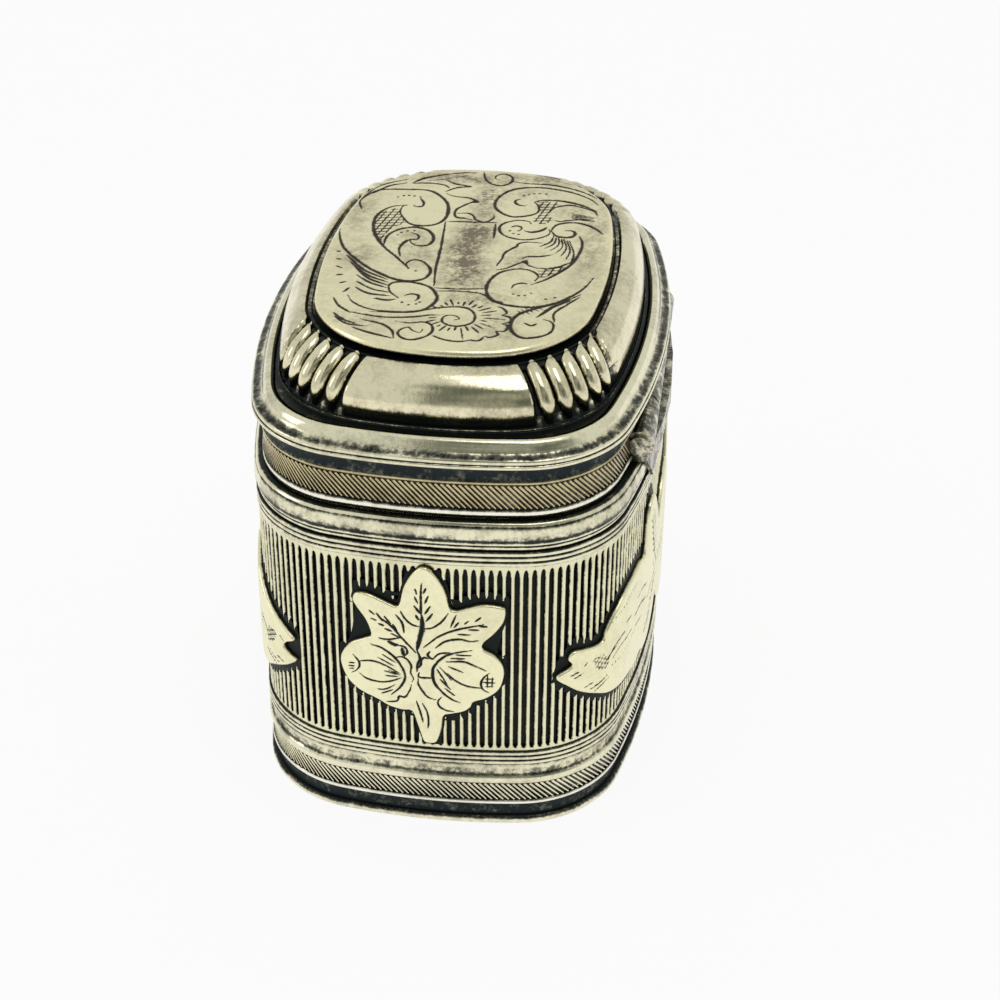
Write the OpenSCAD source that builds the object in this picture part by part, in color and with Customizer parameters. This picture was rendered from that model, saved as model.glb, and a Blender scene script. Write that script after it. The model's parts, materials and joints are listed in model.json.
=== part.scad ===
// A small oval-cornered silver keepsake box with a hinged, domed lid.
// X runs across the box with the hinge at +X, Y runs along it and Z is up.
// The origin is under the middle of the base.
// Every band of the box follows one plan: a rectangle with bowed sides and round corners.
// A plan is [half width, half length, corner radius, side bow radius, end bow radius].
// A profile point is [distance outside the plan, height].

/* [Case plan] */
// Width of the case across the hinge
case_w = 26.5; // [25:0.1:30]
// Length of the case
case_l = 36.4; // [34:0.1:41]
// Radius of the case's corners
case_corner_r = 7.1; // [6:0.1:8.5]
// Radius that the long sides are bowed to
case_side_bow_r = 52; // [44:1:70]
// Radius that the short ends are bowed to
case_end_bow_r = 38.5; // [32:0.5:60]

/* [Lid plan] */
// Width of the engraved plate on the lid
plate_w = 18.7; // [17.5:0.1:20]
// Length of the engraved plate
plate_l = 26.6; // [25:0.1:28]
// Radius of the plate's corners
plate_corner_r = 7.3; // [6.5:0.1:8]
// Radius that the plate's long sides are bowed to
plate_side_bow_r = 46; // [40:1:60]
// Radius that the plate's short ends are bowed to
plate_end_bow_r = 15.2; // [14:0.2:20]

/* [Case heights] */
// Thickness of the base plate
base_h = 0.6; // [0.4:0.05:1]
// Height of the plain band above the base
foot_band_h = 0.98; // [0.6:0.02:1.6]
// Height of the foot's bright wire
foot_wire_h = 0.36; // [0.25:0.01:0.6]
// Height of the foot's milled band
foot_milled_h = 1.47; // [1:0.01:2.2]
// Height of the foot's moulding
foot_moulding_h = 1.65; // [1.2:0.05:2.4]
// Height of each band of three fine reeds
reeds_h = 1.1; // [0.8:0.05:1.6]
// Height of the ribbed band
ribs_h = 14.6; // [14.4:0.1:20]
// Height of the moulding round the case's mouth
mouth_h = 2.04; // [1.6:0.02:2.8]

/* [Lid heights] */
// Gap between the closed lid and the case
parting_gap = 0.1; // [0.05:0.01:0.2]
// Height of the lid's lower wire
lid_wire_h = 0.6; // [0.4:0.02:0.9]
// Height of the lid's milled band
lid_milled_h = 1.75; // [1.6:0.01:2.4]
// Height of the bright wire above the lid's milled band
lid_fillet_h = 0.27; // [0.2:0.01:0.4]
// Height of the lid's hollow cove
cove_h = 1.1; // [0.8:0.05:1.8]
// Height of the lid's rim moulding
rim_h = 1.5; // [1.3:0.05:2]
// Rise of the lid's cushion above the rim
cushion_h = 3.13; // [2.6:0.01:4]
// Thickness of the engraved plate
plate_h = 0.6; // [0.4:0.05:1]

/* [Sheet and clearances] */
// Thickness of the inner case's sheet
case_sheet = 0.4; // [0.3:0.05:0.45]
// Thickness of the collar's sheet
collar_sheet = 0.3; // [0.2:0.05:0.4]
// Thickness of the lid's inner band
lid_sheet = 0.22; // [0.18:0.01:0.24]
// Thickness of the lid's stamped shell
shell_sheet = 0.4; // [0.3:0.05:0.5]
// Gap of a soldered seam
seam = 0.02; // [0.01:0.005:0.04]
// Gap between the lid's inner band and the collar
collar_clear = 0.1; // [0.06:0.01:0.14]
// How far the collar stands above the case's mouth
collar_rise = 2.2; // [1.4:0.1:2.6]
// How deep the collar goes down inside the case
collar_depth = 3.5; // [2:0.1:5]

/* [How far each band stands out] */
// How far the inner case's outside lies inside the plan
backing_in = 0.5; // [0.4:0.05:0.6]
// How far the foot stands outside the plan
foot_out = 0.3; // [0.2:0.01:0.4]
// How far the foot's plain band lies inside the plan
foot_band_in = 0.05; // [0:0.01:0.2]
// How far the foot's wire stands outside the plan
foot_wire_out = 0.2; // [0.1:0.01:0.3]
// How far the foot's milled band stands outside the plan
foot_milled_out = 0.12; // [0:0.01:0.2]
// How far the lower reeds stand outside the plan
lower_reeds_out = 0.26; // [0.15:0.01:0.35]
// How far the upper reeds stand outside the plan
upper_reeds_out = 0.2; // [0.15:0.01:0.35]
// Depth of the cuts between the reeds
reed_depth = 0.12; // [0.06:0.01:0.2]
// How far the mouth's moulding stands outside the plan
mouth_out = 0.26; // [0.15:0.01:0.27]
// How far the lid's lower wire lies inside the plan
lid_wire_in = 0.36; // [0.3:0.01:0.45]
// How far the lid's milled band lies inside the plan
lid_milled_in = 0.46; // [0.4:0.01:0.5]
// How far the wire above it lies inside the plan
lid_fillet_in = 0.38; // [0.3:0.01:0.45]
// How far the hollow of the cove lies inside the plan
cove_in = 0.52; // [0.46:0.01:0.54]
// How far the lid's lip stands outside the plan
lip_out = 0.15; // [0.05:0.01:0.25]
// Width of the lid's rim moulding
rim_w = 1.55; // [1.3:0.05:1.7]

/* [Ornament] */
// Number of ribs round the case
rib_count = 200; // [120:4:240]
// How far the ribs' tops stand outside the plan
rib_out = 0.1; // [0:0.01:0.15]
// Depth of the grooves between the ribs
rib_depth = 0.3; // [0.2:0.01:0.35]
// Thickness of the applied sprigs and branches
applied_t = 0.38; // [0.3:0.01:0.5]
// Number of gadroons on each corner of the lid
gadroon_count = 6; // [4:1:8]
// Depth of the grooves between the gadroons
gadroon_depth = 0.35; // [0.2:0.01:0.4]

/* [Hinge] */
// Outer radius of the hinge tubes
knuckle_r = 0.95; // [0.85:0.01:1]
// Radius of the hinge pin
pin_r = 0.45; // [0.35:0.01:0.5]
// Running clearance round the pin
pin_clear = 0.05; // [0.03:0.01:0.08]
// Radius of the pin's riveted heads
pin_head_r = 0.68; // [0.6:0.01:0.75]
// Thickness of each pin head
pin_head_t = 0.25; // [0.2:0.01:0.4]
// Length of the row of hinge tubes
hinge_l = 19.6; // [16:0.1:20]
// Length of each outer tube, fixed to the case
outer_knuckle_l = 4.8; // [3:0.1:6]
// Gap between neighbouring hinge tubes, and at their ends
knuckle_gap = 0.1; // [0.05:0.01:0.15]
// How far the hinge axis lies inside the case's side
hinge_inset = 0.95; // [0.9:0.01:1]
// Thickness of the cradle under the outer tubes
cradle_t = 0.31; // [0.28:0.01:0.35]
// How far below the hinge axis the cradle's sides end
cradle_drop = 0.55; // [0.5:0.01:0.7]
// Thickness of the straps that carry the hinge
leaf_t = 0.25; // [0.2:0.01:0.28]
// Room between the hinge tubes and the lid's notch
notch_clear = 0.25; // [0.21:0.01:0.3]

/* [Hidden] */
$fn = 48;

case_plan = [case_w / 2, case_l / 2, case_corner_r, case_side_bow_r, case_end_bow_r];
plate_plan = [plate_w / 2, plate_l / 2, plate_corner_r, plate_side_bow_r, plate_end_bow_r];

// Heights from the table up
foot_band_z = base_h;
foot_wire_z = foot_band_z + foot_band_h;
foot_milled_z = foot_wire_z + foot_wire_h;
foot_moulding_z = foot_milled_z + foot_milled_h;
lower_reeds_z = foot_moulding_z + foot_moulding_h;
ribs_z = lower_reeds_z + reeds_h;
upper_reeds_z = ribs_z + ribs_h;
mouth_z = upper_reeds_z + reeds_h;
case_top = mouth_z + mouth_h;
lid_z = case_top + parting_gap;
lid_milled_z = lid_z + lid_wire_h;
lid_fillet_z = lid_milled_z + lid_milled_h;
cove_z = lid_fillet_z + lid_fillet_h;
rim_z = cove_z + cove_h;
rim_top = rim_z + rim_h;
plate_z = rim_top + cushion_h;

// Distances outside the case plan
backing_d = -backing_in;
strip_d = backing_d + seam;
case_inner_d = backing_d - case_sheet;
collar_outer_d = case_inner_d - seam;
collar_inner_d = collar_outer_d - collar_sheet;
lid_inner_d = collar_outer_d + collar_clear;
lid_backing_d = lid_inner_d + lid_sheet;
lid_strip_d = lid_backing_d + seam;
applied_in_d = rib_out + seam;
applied_out_d = applied_in_d + applied_t;
rim_inner_d = lip_out - rim_w;
apron_in_d = mouth_out + seam;

// Hinge places
hinge_x = case_w / 2 - hinge_inset;
cradle_z = case_top + seam;
hinge_z = cradle_z + cradle_t + seam + knuckle_r;
notch_r = knuckle_r + notch_clear;
notch_l = hinge_l + 2 * (pin_head_t + knuckle_gap);
lid_knuckle_l = hinge_l - 2 * outer_knuckle_l;
collar_end_x = case_w / 2 - case_corner_r - 1.2;

// Points on each arc of an outline: half a side, a corner and half an end
side_steps = 3;
corner_steps = 8;
end_steps = 4;
far = 40;

// The corner arc's centre is where the two bowed sides, moved in by the corner radius, meet
function corner_centre(plan) =
    let (
        side_c = [plan[0] - plan[3], 0],
        end_c = [0, plan[1] - plan[4]],
        side_r = plan[3] - plan[2],
        end_r = plan[4] - plan[2],
        span = norm(end_c - side_c),
        run = (end_c - side_c) / span,
        along = (span * span + side_r * side_r - end_r * end_r) / (2 * span),
        off = sqrt(side_r * side_r - along * along)
    )
    side_c + along * run + off * [-run.y, run.x];

function arc_point(centre, r, angle) = centre + r * [cos(angle), sin(angle)];

// A point of the first quarter: 0 to 1 on the side, 1 to 2 on the corner, 2 to 3 on the end
function quarter_point(plan, v, d) =
    let (
        c = corner_centre(plan),
        a1 = atan2(c.y, c.x + plan[3] - plan[0]),
        a2 = atan2(c.y + plan[4] - plan[1], c.x)
    )
    v <= 1 ? arc_point([plan[0] - plan[3], 0], plan[3] + d, v * a1)
    : v <= 2 ? arc_point(c, plan[2] + d, a1 + (v - 1) * (a2 - a1))
    : arc_point([0, plan[1] - plan[4]], plan[4] + d, a2 + (v - 2) * (90 - a2));

// A point of the whole outline, with v from 0 to 12 round the four quarters
function outline_point(plan, v, d) =
    let (
        turn = (v % 12 + 12) % 12,
        k = floor(turn / 3),
        w = turn - 3 * k,
        p = quarter_point(plan, k % 2 == 0 ? w : 3 - w, d)
    )
    [(k == 1 || k == 2 ? -1 : 1) * p.x, (k >= 2 ? -1 : 1) * p.y];

// Where v stands at a distance s along the outline from the middle of the +X side
function quarter_lengths(plan) =
    let (
        c = corner_centre(plan),
        a1 = atan2(c.y, c.x + plan[3] - plan[0]),
        a2 = atan2(c.y + plan[4] - plan[1], c.x)
    )
    [a1 * plan[3], (a2 - a1) * plan[2], (90 - a2) * plan[4]] * PI / 180;

function quarter_v(lengths, s) =
    s <= lengths[0] ? s / lengths[0]
    : s <= lengths[0] + lengths[1] ? 1 + (s - lengths[0]) / lengths[1]
    : 2 + (s - lengths[0] - lengths[1]) / lengths[2];

function v_at(plan, s) =
    let (
        lengths = quarter_lengths(plan),
        q = lengths[0] + lengths[1] + lengths[2],
        k = floor(s / q),
        rest = s - k * q
    )
    3 * k + (k % 2 == 0 ? quarter_v(lengths, rest) : 3 - quarter_v(lengths, q - rest));

function perimeter(plan) = let (l = quarter_lengths(plan)) 4 * (l[0] + l[1] + l[2]);

// The v values of an outline, with the given number of points on each arc
function quarter_stations(side, corner, end) = concat(
    [for (i = [0:side - 1]) i / side],
    [for (i = [0:corner - 1]) 1 + i / corner],
    [for (i = [0:end - 1]) 2 + i / end]
);

// The whole turn's v values from those of the first quarter
function full_turn(quarter) =
    let (back = [for (i = [len(quarter) - 1:-1:1]) 6 - quarter[i]])
    concat(quarter, [3], back, [for (v = concat(quarter, [3], back)) v + 6]);

plain_stations = full_turn(quarter_stations(side_steps, corner_steps, end_steps));

function outline(plan, d) = [for (v = plain_stations) outline_point(plan, v, d)];

function blend(from, to, t) = from + (to - from) * t;

// Triangles between the neighbouring rings of a closed sweep
function ring_faces(rings, n, closed) = [
    for (j = [0:closed ? rings - 1 : rings - 2], i = [0:n - 1], half = [0, 1])
        let (
            a = j * n + i,
            b = j * n + (i + 1) % n,
            c = (j + 1) % rings * n + (i + 1) % n,
            e = (j + 1) % rings * n + i
        )
        half == 0 ? [a, c, b] : [a, e, c]
];

// A ring whose section is a closed profile, counter-clockwise with the outside at the right
module ring(profile) {
    n = len(plain_stations);
    points = [for (p = profile, q = outline(case_plan, p[0])) [q.x, q.y, p[1]]];
    polyhedron(points, ring_faces(len(profile), n, true));
}

// A straight-walled band between two distances outside the plan
module band(inner_d, outer_d, z, h) {
    translate([0, 0, z])
        linear_extrude(h)
            difference() {
                polygon(outline(case_plan, outer_d));
                polygon(outline(case_plan, inner_d));
            }
}

// The space round the hinge tubes that the lid's bands leave free
module hinge_notch() {
    translate([0, -notch_l / 2, 0])
        cube([far, notch_l, hinge_z + notch_r]);
}

// Case
module base_plate() {
    color("DarkGray")
        linear_extrude(base_h)
            polygon(outline(case_plan, foot_out));
}

module inner_case() {
    color("Silver")
        band(case_inner_d, backing_d, base_h, case_top - base_h);
}

module foot_band() {
    color("DimGray")
        band(strip_d, -foot_band_in, foot_band_z, foot_band_h);
}

// A half-round wire lying on the backing
function wire_profile(inner_d, outer_d, z, h) = [
    [inner_d, z],
    [outer_d - h / 3, z],
    [outer_d, z + h / 3],
    [outer_d, z + 2 * h / 3],
    [outer_d - h / 3, z + h],
    [inner_d, z + h]
];

module foot_wire() {
    color("Gainsboro")
        ring(wire_profile(strip_d, foot_wire_out, foot_wire_z, foot_wire_h));
}

module foot_milled_band() {
    color("LightGray")
        band(strip_d, foot_milled_out, foot_milled_z, foot_milled_h);
}

// A moulding lying on the backing, drawn as [share of how far it stands out, share of its height]
function moulding_profile(shape, out, z, h) = concat(
    [[strip_d, z]],
    [for (p = shape) [p.x * out, z + p.y * h]],
    [[strip_d, z + h]]
);

// A bold bead, a hollow and a fine bead
foot_shape = [
    [0.5, 0], [1, 0.12], [1, 0.3], [0.5, 0.46], [0.25, 0.6], [0.5, 0.72], [0.85, 0.84], [0.5, 1]
];

module foot_moulding() {
    color("Gainsboro")
        ring(moulding_profile(foot_shape, foot_out, foot_moulding_z, foot_moulding_h));
}

// Three reeds of equal height, each with a flat crest of its middle two fifths
function reeds_profile(crest_d, z, h) = concat(
    [[strip_d, z]],
    [for (i = [0:2], p = [[reed_depth, 0], [0, 0.3], [0, 0.7]]) [crest_d - p.x, z + (i + p.y) * h / 3]],
    [[crest_d - reed_depth, z + h], [strip_d, z + h]]
);

module lower_reeds() {
    color("Gainsboro")
        ring(reeds_profile(lower_reeds_out, lower_reeds_z, reeds_h));
}

module upper_reeds() {
    color("Gainsboro")
        ring(reeds_profile(upper_reeds_out, upper_reeds_z, reeds_h));
}

// The ribs are a toothed outline: each pitch has a rib's flat top and a groove's floor
module ribbed_band() {
    pitch = perimeter(case_plan) / rib_count;
    floor_d = rib_out - rib_depth;
    tooth = [[-0.26, rib_out], [0.26, rib_out], [0.36, floor_d], [0.64, floor_d]];
    teeth = [
        for (i = [0:rib_count - 1], p = tooth)
            outline_point(case_plan, v_at(case_plan, (i + p[0]) * pitch), p[1])
    ];
    color("Gainsboro")
        translate([0, 0, ribs_z])
            linear_extrude(ribs_h)
                difference() {
                    polygon(teeth);
                    polygon(outline(case_plan, strip_d));
                }
}

// The round moulding at the mouth, over a narrow step
mouth_shape = [[0.1, 0], [0.15, 0.14], [0.75, 0.3], [1, 0.5], [0.9, 0.7], [0.45, 0.88], [-0.3, 1]];

module mouth_moulding() {
    color("Silver")
        ring(moulding_profile(mouth_shape, mouth_out, mouth_z, mouth_h));
}

// The collar that the lid closes over, left out along the hinge, where the lid swings inwards
module inner_collar() {
    color("LightGray")
        difference() {
            band(collar_inner_d, collar_outer_d, case_top - collar_depth, collar_depth + collar_rise);
            translate([collar_end_x, -far, 0])
                cube([far, 2 * far, 2 * far]);
        }
}

// Applied ornament. The sprig is drawn as [x, height above the ribs' foot]
sprig_outline = [
    [-0.14, 14.4], [0.6, 13.5], [1.15, 12.35], [1.4, 11.65], [1.7, 11.3], [2.3, 11.65], [3.65, 11.8],
    [4.75, 11.55], [4.55, 10.5], [4, 9.35], [3.45, 8.55], [4, 8.1], [4.55, 7.55], [4.8, 6.55],
    [4.7, 5.25], [4.2, 4.7], [3.45, 4.25], [2.75, 3.9], [2.55, 3.35], [1.75, 3.05], [0.85, 2.95],
    [0.65, 1.85], [0.35, 0.8], [-0.15, 0.5], [-0.6, 0.8], [-0.8, 1.85], [-0.9, 2.9], [-1.85, 2.95],
    [-2.75, 3.25], [-3.5, 3.9], [-4.8, 4.55], [-5.5, 5.35], [-5.7, 6.4], [-5.35, 7.55], [-4.35, 8.1],
    [-3.75, 8.55], [-4.1, 9.8], [-4.65, 10.75], [-4.75, 11.55], [-3.9, 11.8], [-2.65, 11.6],
    [-1.65, 11.3], [-1.35, 12], [-1.05, 12.8], [-0.7, 13.7]
];

module front_sprig() {
    color("Ivory")
        intersection() {
            band(applied_in_d, applied_out_d, ribs_z, ribs_h);
            translate([0, 0, ribs_z])
                rotate([90, 0, 0])
                    linear_extrude(far)
                        polygon(sprig_outline);
        }
}

module back_sprig() {
    rotate([0, 0, 180])
        front_sprig();
}

// The branch's edges, as [distance along the wall from the side's middle, height above the ribs' foot]
branch_top = [
    [0, 11.6], [1.5, 11.3], [2.8, 10.2], [3.4, 9.4], [4.4, 11], [5.6, 12.7], [6.5, 13.1], [7.4, 12.6],
    [7.9, 10.8], [8.3, 9.4], [9.4, 9.9], [10.8, 9.9], [12.4, 9.4], [14, 8.9], [15.2, 8.1], [17.2, 7.8],
    [17.5, 6.7], [18.7, 5.95]
];
branch_bottom = [
    [0, 1.1], [1.4, 1.5], [2.6, 2.8], [3.6, 4], [4.6, 2.9], [6, 1.8], [7.6, 1.4], [8.8, 2.1],
    [10, 1.5], [11.6, 1.7], [13.4, 2.3], [15.4, 3.4], [17.2, 4.5], [18.7, 5.8]
];
branch_half_l = 18.7;
branch_steps = 40;

// A leafy strip that follows the wall, centred at a distance along the outline
module branch(middle_s) {
    columns = [
        for (i = [-branch_steps:branch_steps])
            let (
                reach = i / branch_steps * branch_half_l,
                v = v_at(case_plan, middle_s + reach),
                inner = outline_point(case_plan, v, applied_in_d),
                outer = outline_point(case_plan, v, applied_out_d),
                low = ribs_z + lookup(abs(reach), branch_bottom),
                high = ribs_z + lookup(abs(reach), branch_top)
            )
            [[outer.x, outer.y, low], [outer.x, outer.y, high], [inner.x, inner.y, high], [inner.x, inner.y, low]]
    ];
    count = len(columns);
    last = 4 * (count - 1);
    polyhedron(
        [for (column = columns, p = column) p],
        concat(
            [[0, 1, 2], [0, 2, 3]],
            ring_faces(count, 4, false),
            [[last, last + 2, last + 1], [last, last + 3, last + 2]]
        )
    );
}

module right_branch() {
    color("Ivory")
        branch(0);
}

module left_branch() {
    color("Ivory")
        branch(perimeter(case_plan) / 2);
}

// Hinge
module along_y(r, l, middle_y) {
    translate([hinge_x, middle_y + l / 2, hinge_z])
        rotate([90, 0, 0])
            cylinder(r = r, h = l);
}

outer_knuckle_y = (hinge_l - outer_knuckle_l + knuckle_gap) / 2;
outer_tube_l = outer_knuckle_l - knuckle_gap;
inner_tube_l = lid_knuckle_l - knuckle_gap;

module tube(l, middle_y) {
    difference() {
        along_y(knuckle_r, l, middle_y);
        along_y(pin_r + pin_clear, l + 2, middle_y);
    }
}

module case_knuckles() {
    color("Silver")
        for (side = [-1, 1])
            tube(outer_tube_l, side * outer_knuckle_y);
}

// The apron outside the wall, under the hinge, as [y, height above the mouth]
apron_half = [[9.6, seam], [8.6, -1.1], [7.5, -2.3], [6.4, -1.5], [4.5, -1.1], [2, -1], [0, -1.2]];
apron_h = 3;

module apron_shape() {
    left = [for (i = [len(apron_half) - 2:-1:0]) [-apron_half[i].x, apron_half[i].y]];
    polygon(concat(apron_half, left));
}

// A cradle on the mouth that holds the outer tubes, with an apron down the outside
module case_hinge_leaf() {
    cradle_x = hinge_x - knuckle_r - knuckle_gap;
    color("Silver") {
        difference() {
            intersection() {
                translate([cradle_x, -hinge_l / 2, cradle_z])
                    cube([far, hinge_l, hinge_z - cradle_drop - cradle_z]);
                union() {
                    along_y(knuckle_r + knuckle_gap, hinge_l, 0);
                    translate([0, -far, cradle_z])
                        cube([far, 2 * far, leaf_t]);
                }
                translate([0, 0, cradle_z])
                    linear_extrude(far)
                        polygon(outline(case_plan, applied_out_d));
            }
            for (side = [-1, 1])
                along_y(knuckle_r + seam, outer_knuckle_l + knuckle_gap, side * outer_knuckle_y);
            along_y(knuckle_r + pin_clear, lid_knuckle_l, 0);
        }
        intersection() {
            band(apron_in_d, applied_out_d, case_top - apron_h, apron_h + seam);
            translate([0, 0, case_top])
                rotate([90, 0, 90])
                    linear_extrude(far)
                        apron_shape();
        }
    }
}

module hinge_pin() {
    color("DarkGray") {
        along_y(pin_r, hinge_l + 2 * knuckle_gap, 0);
        for (side = [-1, 1])
            along_y(pin_head_r, pin_head_t, side * (hinge_l / 2 + pin_head_t / 2));
    }
}

// Lid
module lid_band() {
    color("Silver")
        difference() {
            band(lid_inner_d, lid_backing_d, lid_z, rim_z - lid_z);
            hinge_notch();
        }
}

module lid_lower_wire() {
    color("Gainsboro")
        difference() {
            ring(wire_profile(lid_strip_d, -lid_wire_in, lid_z, lid_wire_h));
            hinge_notch();
        }
}

module lid_milled_band() {
    color("BurlyWood")
        difference() {
            band(lid_strip_d, -lid_milled_in, lid_milled_z, lid_milled_h);
            hinge_notch();
        }
}

module lid_fillet() {
    color("Gainsboro")
        difference() {
            ring(wire_profile(lid_strip_d, -lid_fillet_in, lid_fillet_z, lid_fillet_h));
            hinge_notch();
        }
}

// A hollow strip that flares out to the lip, drawn as [share of its depth, share of its height]
cove_shape = [[0.8, 0], [0.95, 0.15], [1, 0.45], [0.85, 0.75], [0.55, 1]];

module lid_cove() {
    color("DimGray")
        ring(concat(
            [[lid_strip_d, cove_z]],
            [for (p = cove_shape) [-cove_in * p.x, cove_z + cove_h * p.y]],
            [[lid_strip_d, cove_z + cove_h]]
        ));
}

// A double lip, a hollow and a round bead, drawn as [share of its width in from the lip, share of its height]
rim_shape = [
    [0.06, 0], [0, 0.07], [0, 0.19], [0.07, 0.27], [0.11, 0.42], [0.28, 0.48], [0.45, 0.56], [0.55, 0.8],
    [0.66, 0.96], [0.81, 1], [0.94, 0.95], [1, 0.84], [1, 0.58]
];

module lid_rim() {
    color("Silver")
        ring(concat(
            [[lid_inner_d, rim_z]],
            [for (p = rim_shape) [lip_out - rim_w * p.x, rim_z + rim_h * p.y]],
            [[lid_inner_d, rim_z + rim_h * 0.3]]
        ));
}

// The stamped shell of the lid, between the rim and the plate.
// A level is [share of the way from the plate's plan to the case's, distance outside that plan, share of
// the cushion's rise, depth of the gadroons' grooves]
function shell_point(v, level) =
    let (
        plan = blend(plate_plan, case_plan, level[0]),
        on_corner = v % 3 >= 1 && v % 3 <= 2,
        lobe = abs(sin(180 * gadroon_count * (v % 3 - 1))),
        cut = on_corner ? (1 - lobe) * level[3] : 0,
        p = outline_point(plan, v, level[1] - cut)
    )
    [p.x, p.y, rim_top + level[2] * cushion_h - cut / 2];

shell_edge_d = rim_inner_d - seam;
shell_floor = -0.08;
shell_outside = [
    [1, shell_edge_d, shell_floor, 0],
    [0.6, -0.1, shell_floor, 0],
    [0.5, 0, 0.03, 0],
    [0.52, 0.05, 0.36, gadroon_depth],
    [0.47, 0.05, 0.62, gadroon_depth],
    [0.36, 0, 0.84, gadroon_depth],
    [0.2, 0, 0.97, gadroon_depth / 2],
    [0, 0.8, 0.98, 0],
    [0, 0.35, 0.87, 0],
    [0, -0.1, 1, 0],
    [0, -0.9, 1, 0]
];
shell_inside = [
    [0, -0.9, 1 - shell_sheet / cushion_h, 0],
    [0.15, -shell_sheet, 0.8, 0],
    [0.4, -shell_sheet, 0.5, 0],
    [0.44, -shell_sheet, shell_floor, 0],
    [1, shell_edge_d, shell_floor - shell_sheet / cushion_h, 0]
];

// The cushion's outline has extra points beside the gadroons, and four to a gadroon
module lid_cushion() {
    corner_n = 4 * gadroon_count;
    quarter = concat([0, 0.5, 0.94], [for (i = [0:corner_n]) 1 + i / corner_n], [2.12, 2.5]);
    turn = full_turn(quarter);
    shell = concat(shell_outside, shell_inside);
    points = [for (level = shell, v = turn) shell_point(v, level)];
    color("DarkKhaki")
        polyhedron(points, ring_faces(len(shell), len(turn), true));
}

module lid_top_plate() {
    color("Ivory")
        translate([0, 0, plate_z])
            linear_extrude(plate_h)
                polygon(outline(plate_plan, 0));
}

// The strap inside the lid that closes the notch and carries the lid's tube
module lid_hinge_leaf() {
    strap_x = hinge_x - notch_r - leaf_t;
    notch_top = hinge_z + notch_r;
    color("Silver")
        intersection() {
            translate([0, 0, lid_z])
                linear_extrude(rim_z - lid_z)
                    polygon(outline(case_plan, lid_inner_d - seam));
            union() {
                translate([strap_x, -far, lid_z])
                    cube([leaf_t, 2 * far, notch_top + leaf_t - lid_z]);
                translate([strap_x, -far, notch_top])
                    cube([far, 2 * far, leaf_t]);
            }
        }
}

module lid_knuckle() {
    web_h = knuckle_r / 2;
    color("Silver")
        difference() {
            union() {
                along_y(knuckle_r, inner_tube_l, 0);
                translate([hinge_x - notch_r + seam, -inner_tube_l / 2, hinge_z - web_h / 2])
                    cube([notch_r - seam, inner_tube_l, web_h]);
            }
            along_y(pin_r + pin_clear, hinge_l, 0);
        }
}

base_plate();
inner_case();
foot_band();
foot_wire();
foot_milled_band();
foot_moulding();
lower_reeds();
ribbed_band();
upper_reeds();
mouth_moulding();
inner_collar();
front_sprig();
back_sprig();
left_branch();
right_branch();
case_hinge_leaf();
case_knuckles();
hinge_pin();
lid_band();
lid_lower_wire();
lid_milled_band();
lid_fillet();
lid_cove();
lid_rim();
lid_cushion();
lid_top_plate();
lid_hinge_leaf();
lid_knuckle();
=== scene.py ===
# %% [markdown]
# # A small silver box with a domed lid
#
# This lesson dresses a small silver keepsake box, about as tall as it is wide. The box is built the way a
# silversmith builds one: a plain inner case with strips of drawn, reeded and milled silver soldered round it,
# applied leaves, and a lid stamped with a cushion and corner gadroons under an engraved plate.
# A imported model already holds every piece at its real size. Here each visible piece gets its real surface.

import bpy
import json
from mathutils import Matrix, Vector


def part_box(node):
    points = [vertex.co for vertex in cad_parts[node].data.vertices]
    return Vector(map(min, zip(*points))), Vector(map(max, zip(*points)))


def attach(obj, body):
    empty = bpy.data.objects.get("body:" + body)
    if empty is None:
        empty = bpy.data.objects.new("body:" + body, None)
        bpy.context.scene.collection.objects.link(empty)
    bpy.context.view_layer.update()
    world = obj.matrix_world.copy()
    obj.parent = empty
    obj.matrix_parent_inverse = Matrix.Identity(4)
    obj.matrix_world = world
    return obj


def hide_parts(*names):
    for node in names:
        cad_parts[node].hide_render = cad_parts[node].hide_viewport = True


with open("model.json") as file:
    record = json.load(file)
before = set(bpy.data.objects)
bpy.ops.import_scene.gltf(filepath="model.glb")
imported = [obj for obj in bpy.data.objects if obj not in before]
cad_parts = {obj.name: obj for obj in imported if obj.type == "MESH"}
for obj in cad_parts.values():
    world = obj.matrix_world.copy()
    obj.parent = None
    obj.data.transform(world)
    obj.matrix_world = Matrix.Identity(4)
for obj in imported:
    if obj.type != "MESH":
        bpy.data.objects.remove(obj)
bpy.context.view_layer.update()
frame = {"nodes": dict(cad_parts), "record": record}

# %% Tools and units
import json
from math import atan2, ceil, cos, pi, radians, sin

import bmesh
import bpy
import numpy as np
from mathutils import Matrix, Vector

MM = 0.001


def span(node):
    """The lowest and highest z of a node, in millimetres."""
    low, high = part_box(node)
    return low.z / MM, high.z / MM


print("the case is", round(span("inner_case")[1], 2), "mm high")

# %% [markdown]
# ## The camera
#
# The camera stands a hand's breadth away and looks down at the box by a third of a right angle, turned a
# little to the hinge side. Its three axes are worked out from those angles, because a camera that is aimed at
# a point can't also be rolled. Depth of field stays off: every detail of a small object should be sharp.

# %% Camera
AZIMUTH = radians(7.385)
ELEVATION = radians(33.263)
ROLL = radians(0.4)
EYE = Vector((17.97, -121.66, 94.22)) * MM
LENS = 75.03

back = Vector((sin(AZIMUTH) * cos(ELEVATION), -cos(AZIMUTH) * cos(ELEVATION), sin(ELEVATION)))
level_right = Vector((cos(AZIMUTH), sin(AZIMUTH), 0))
level_up = back.cross(level_right)
right = level_right * cos(ROLL) + level_up * sin(ROLL)
up = level_up * cos(ROLL) - level_right * sin(ROLL)

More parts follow.
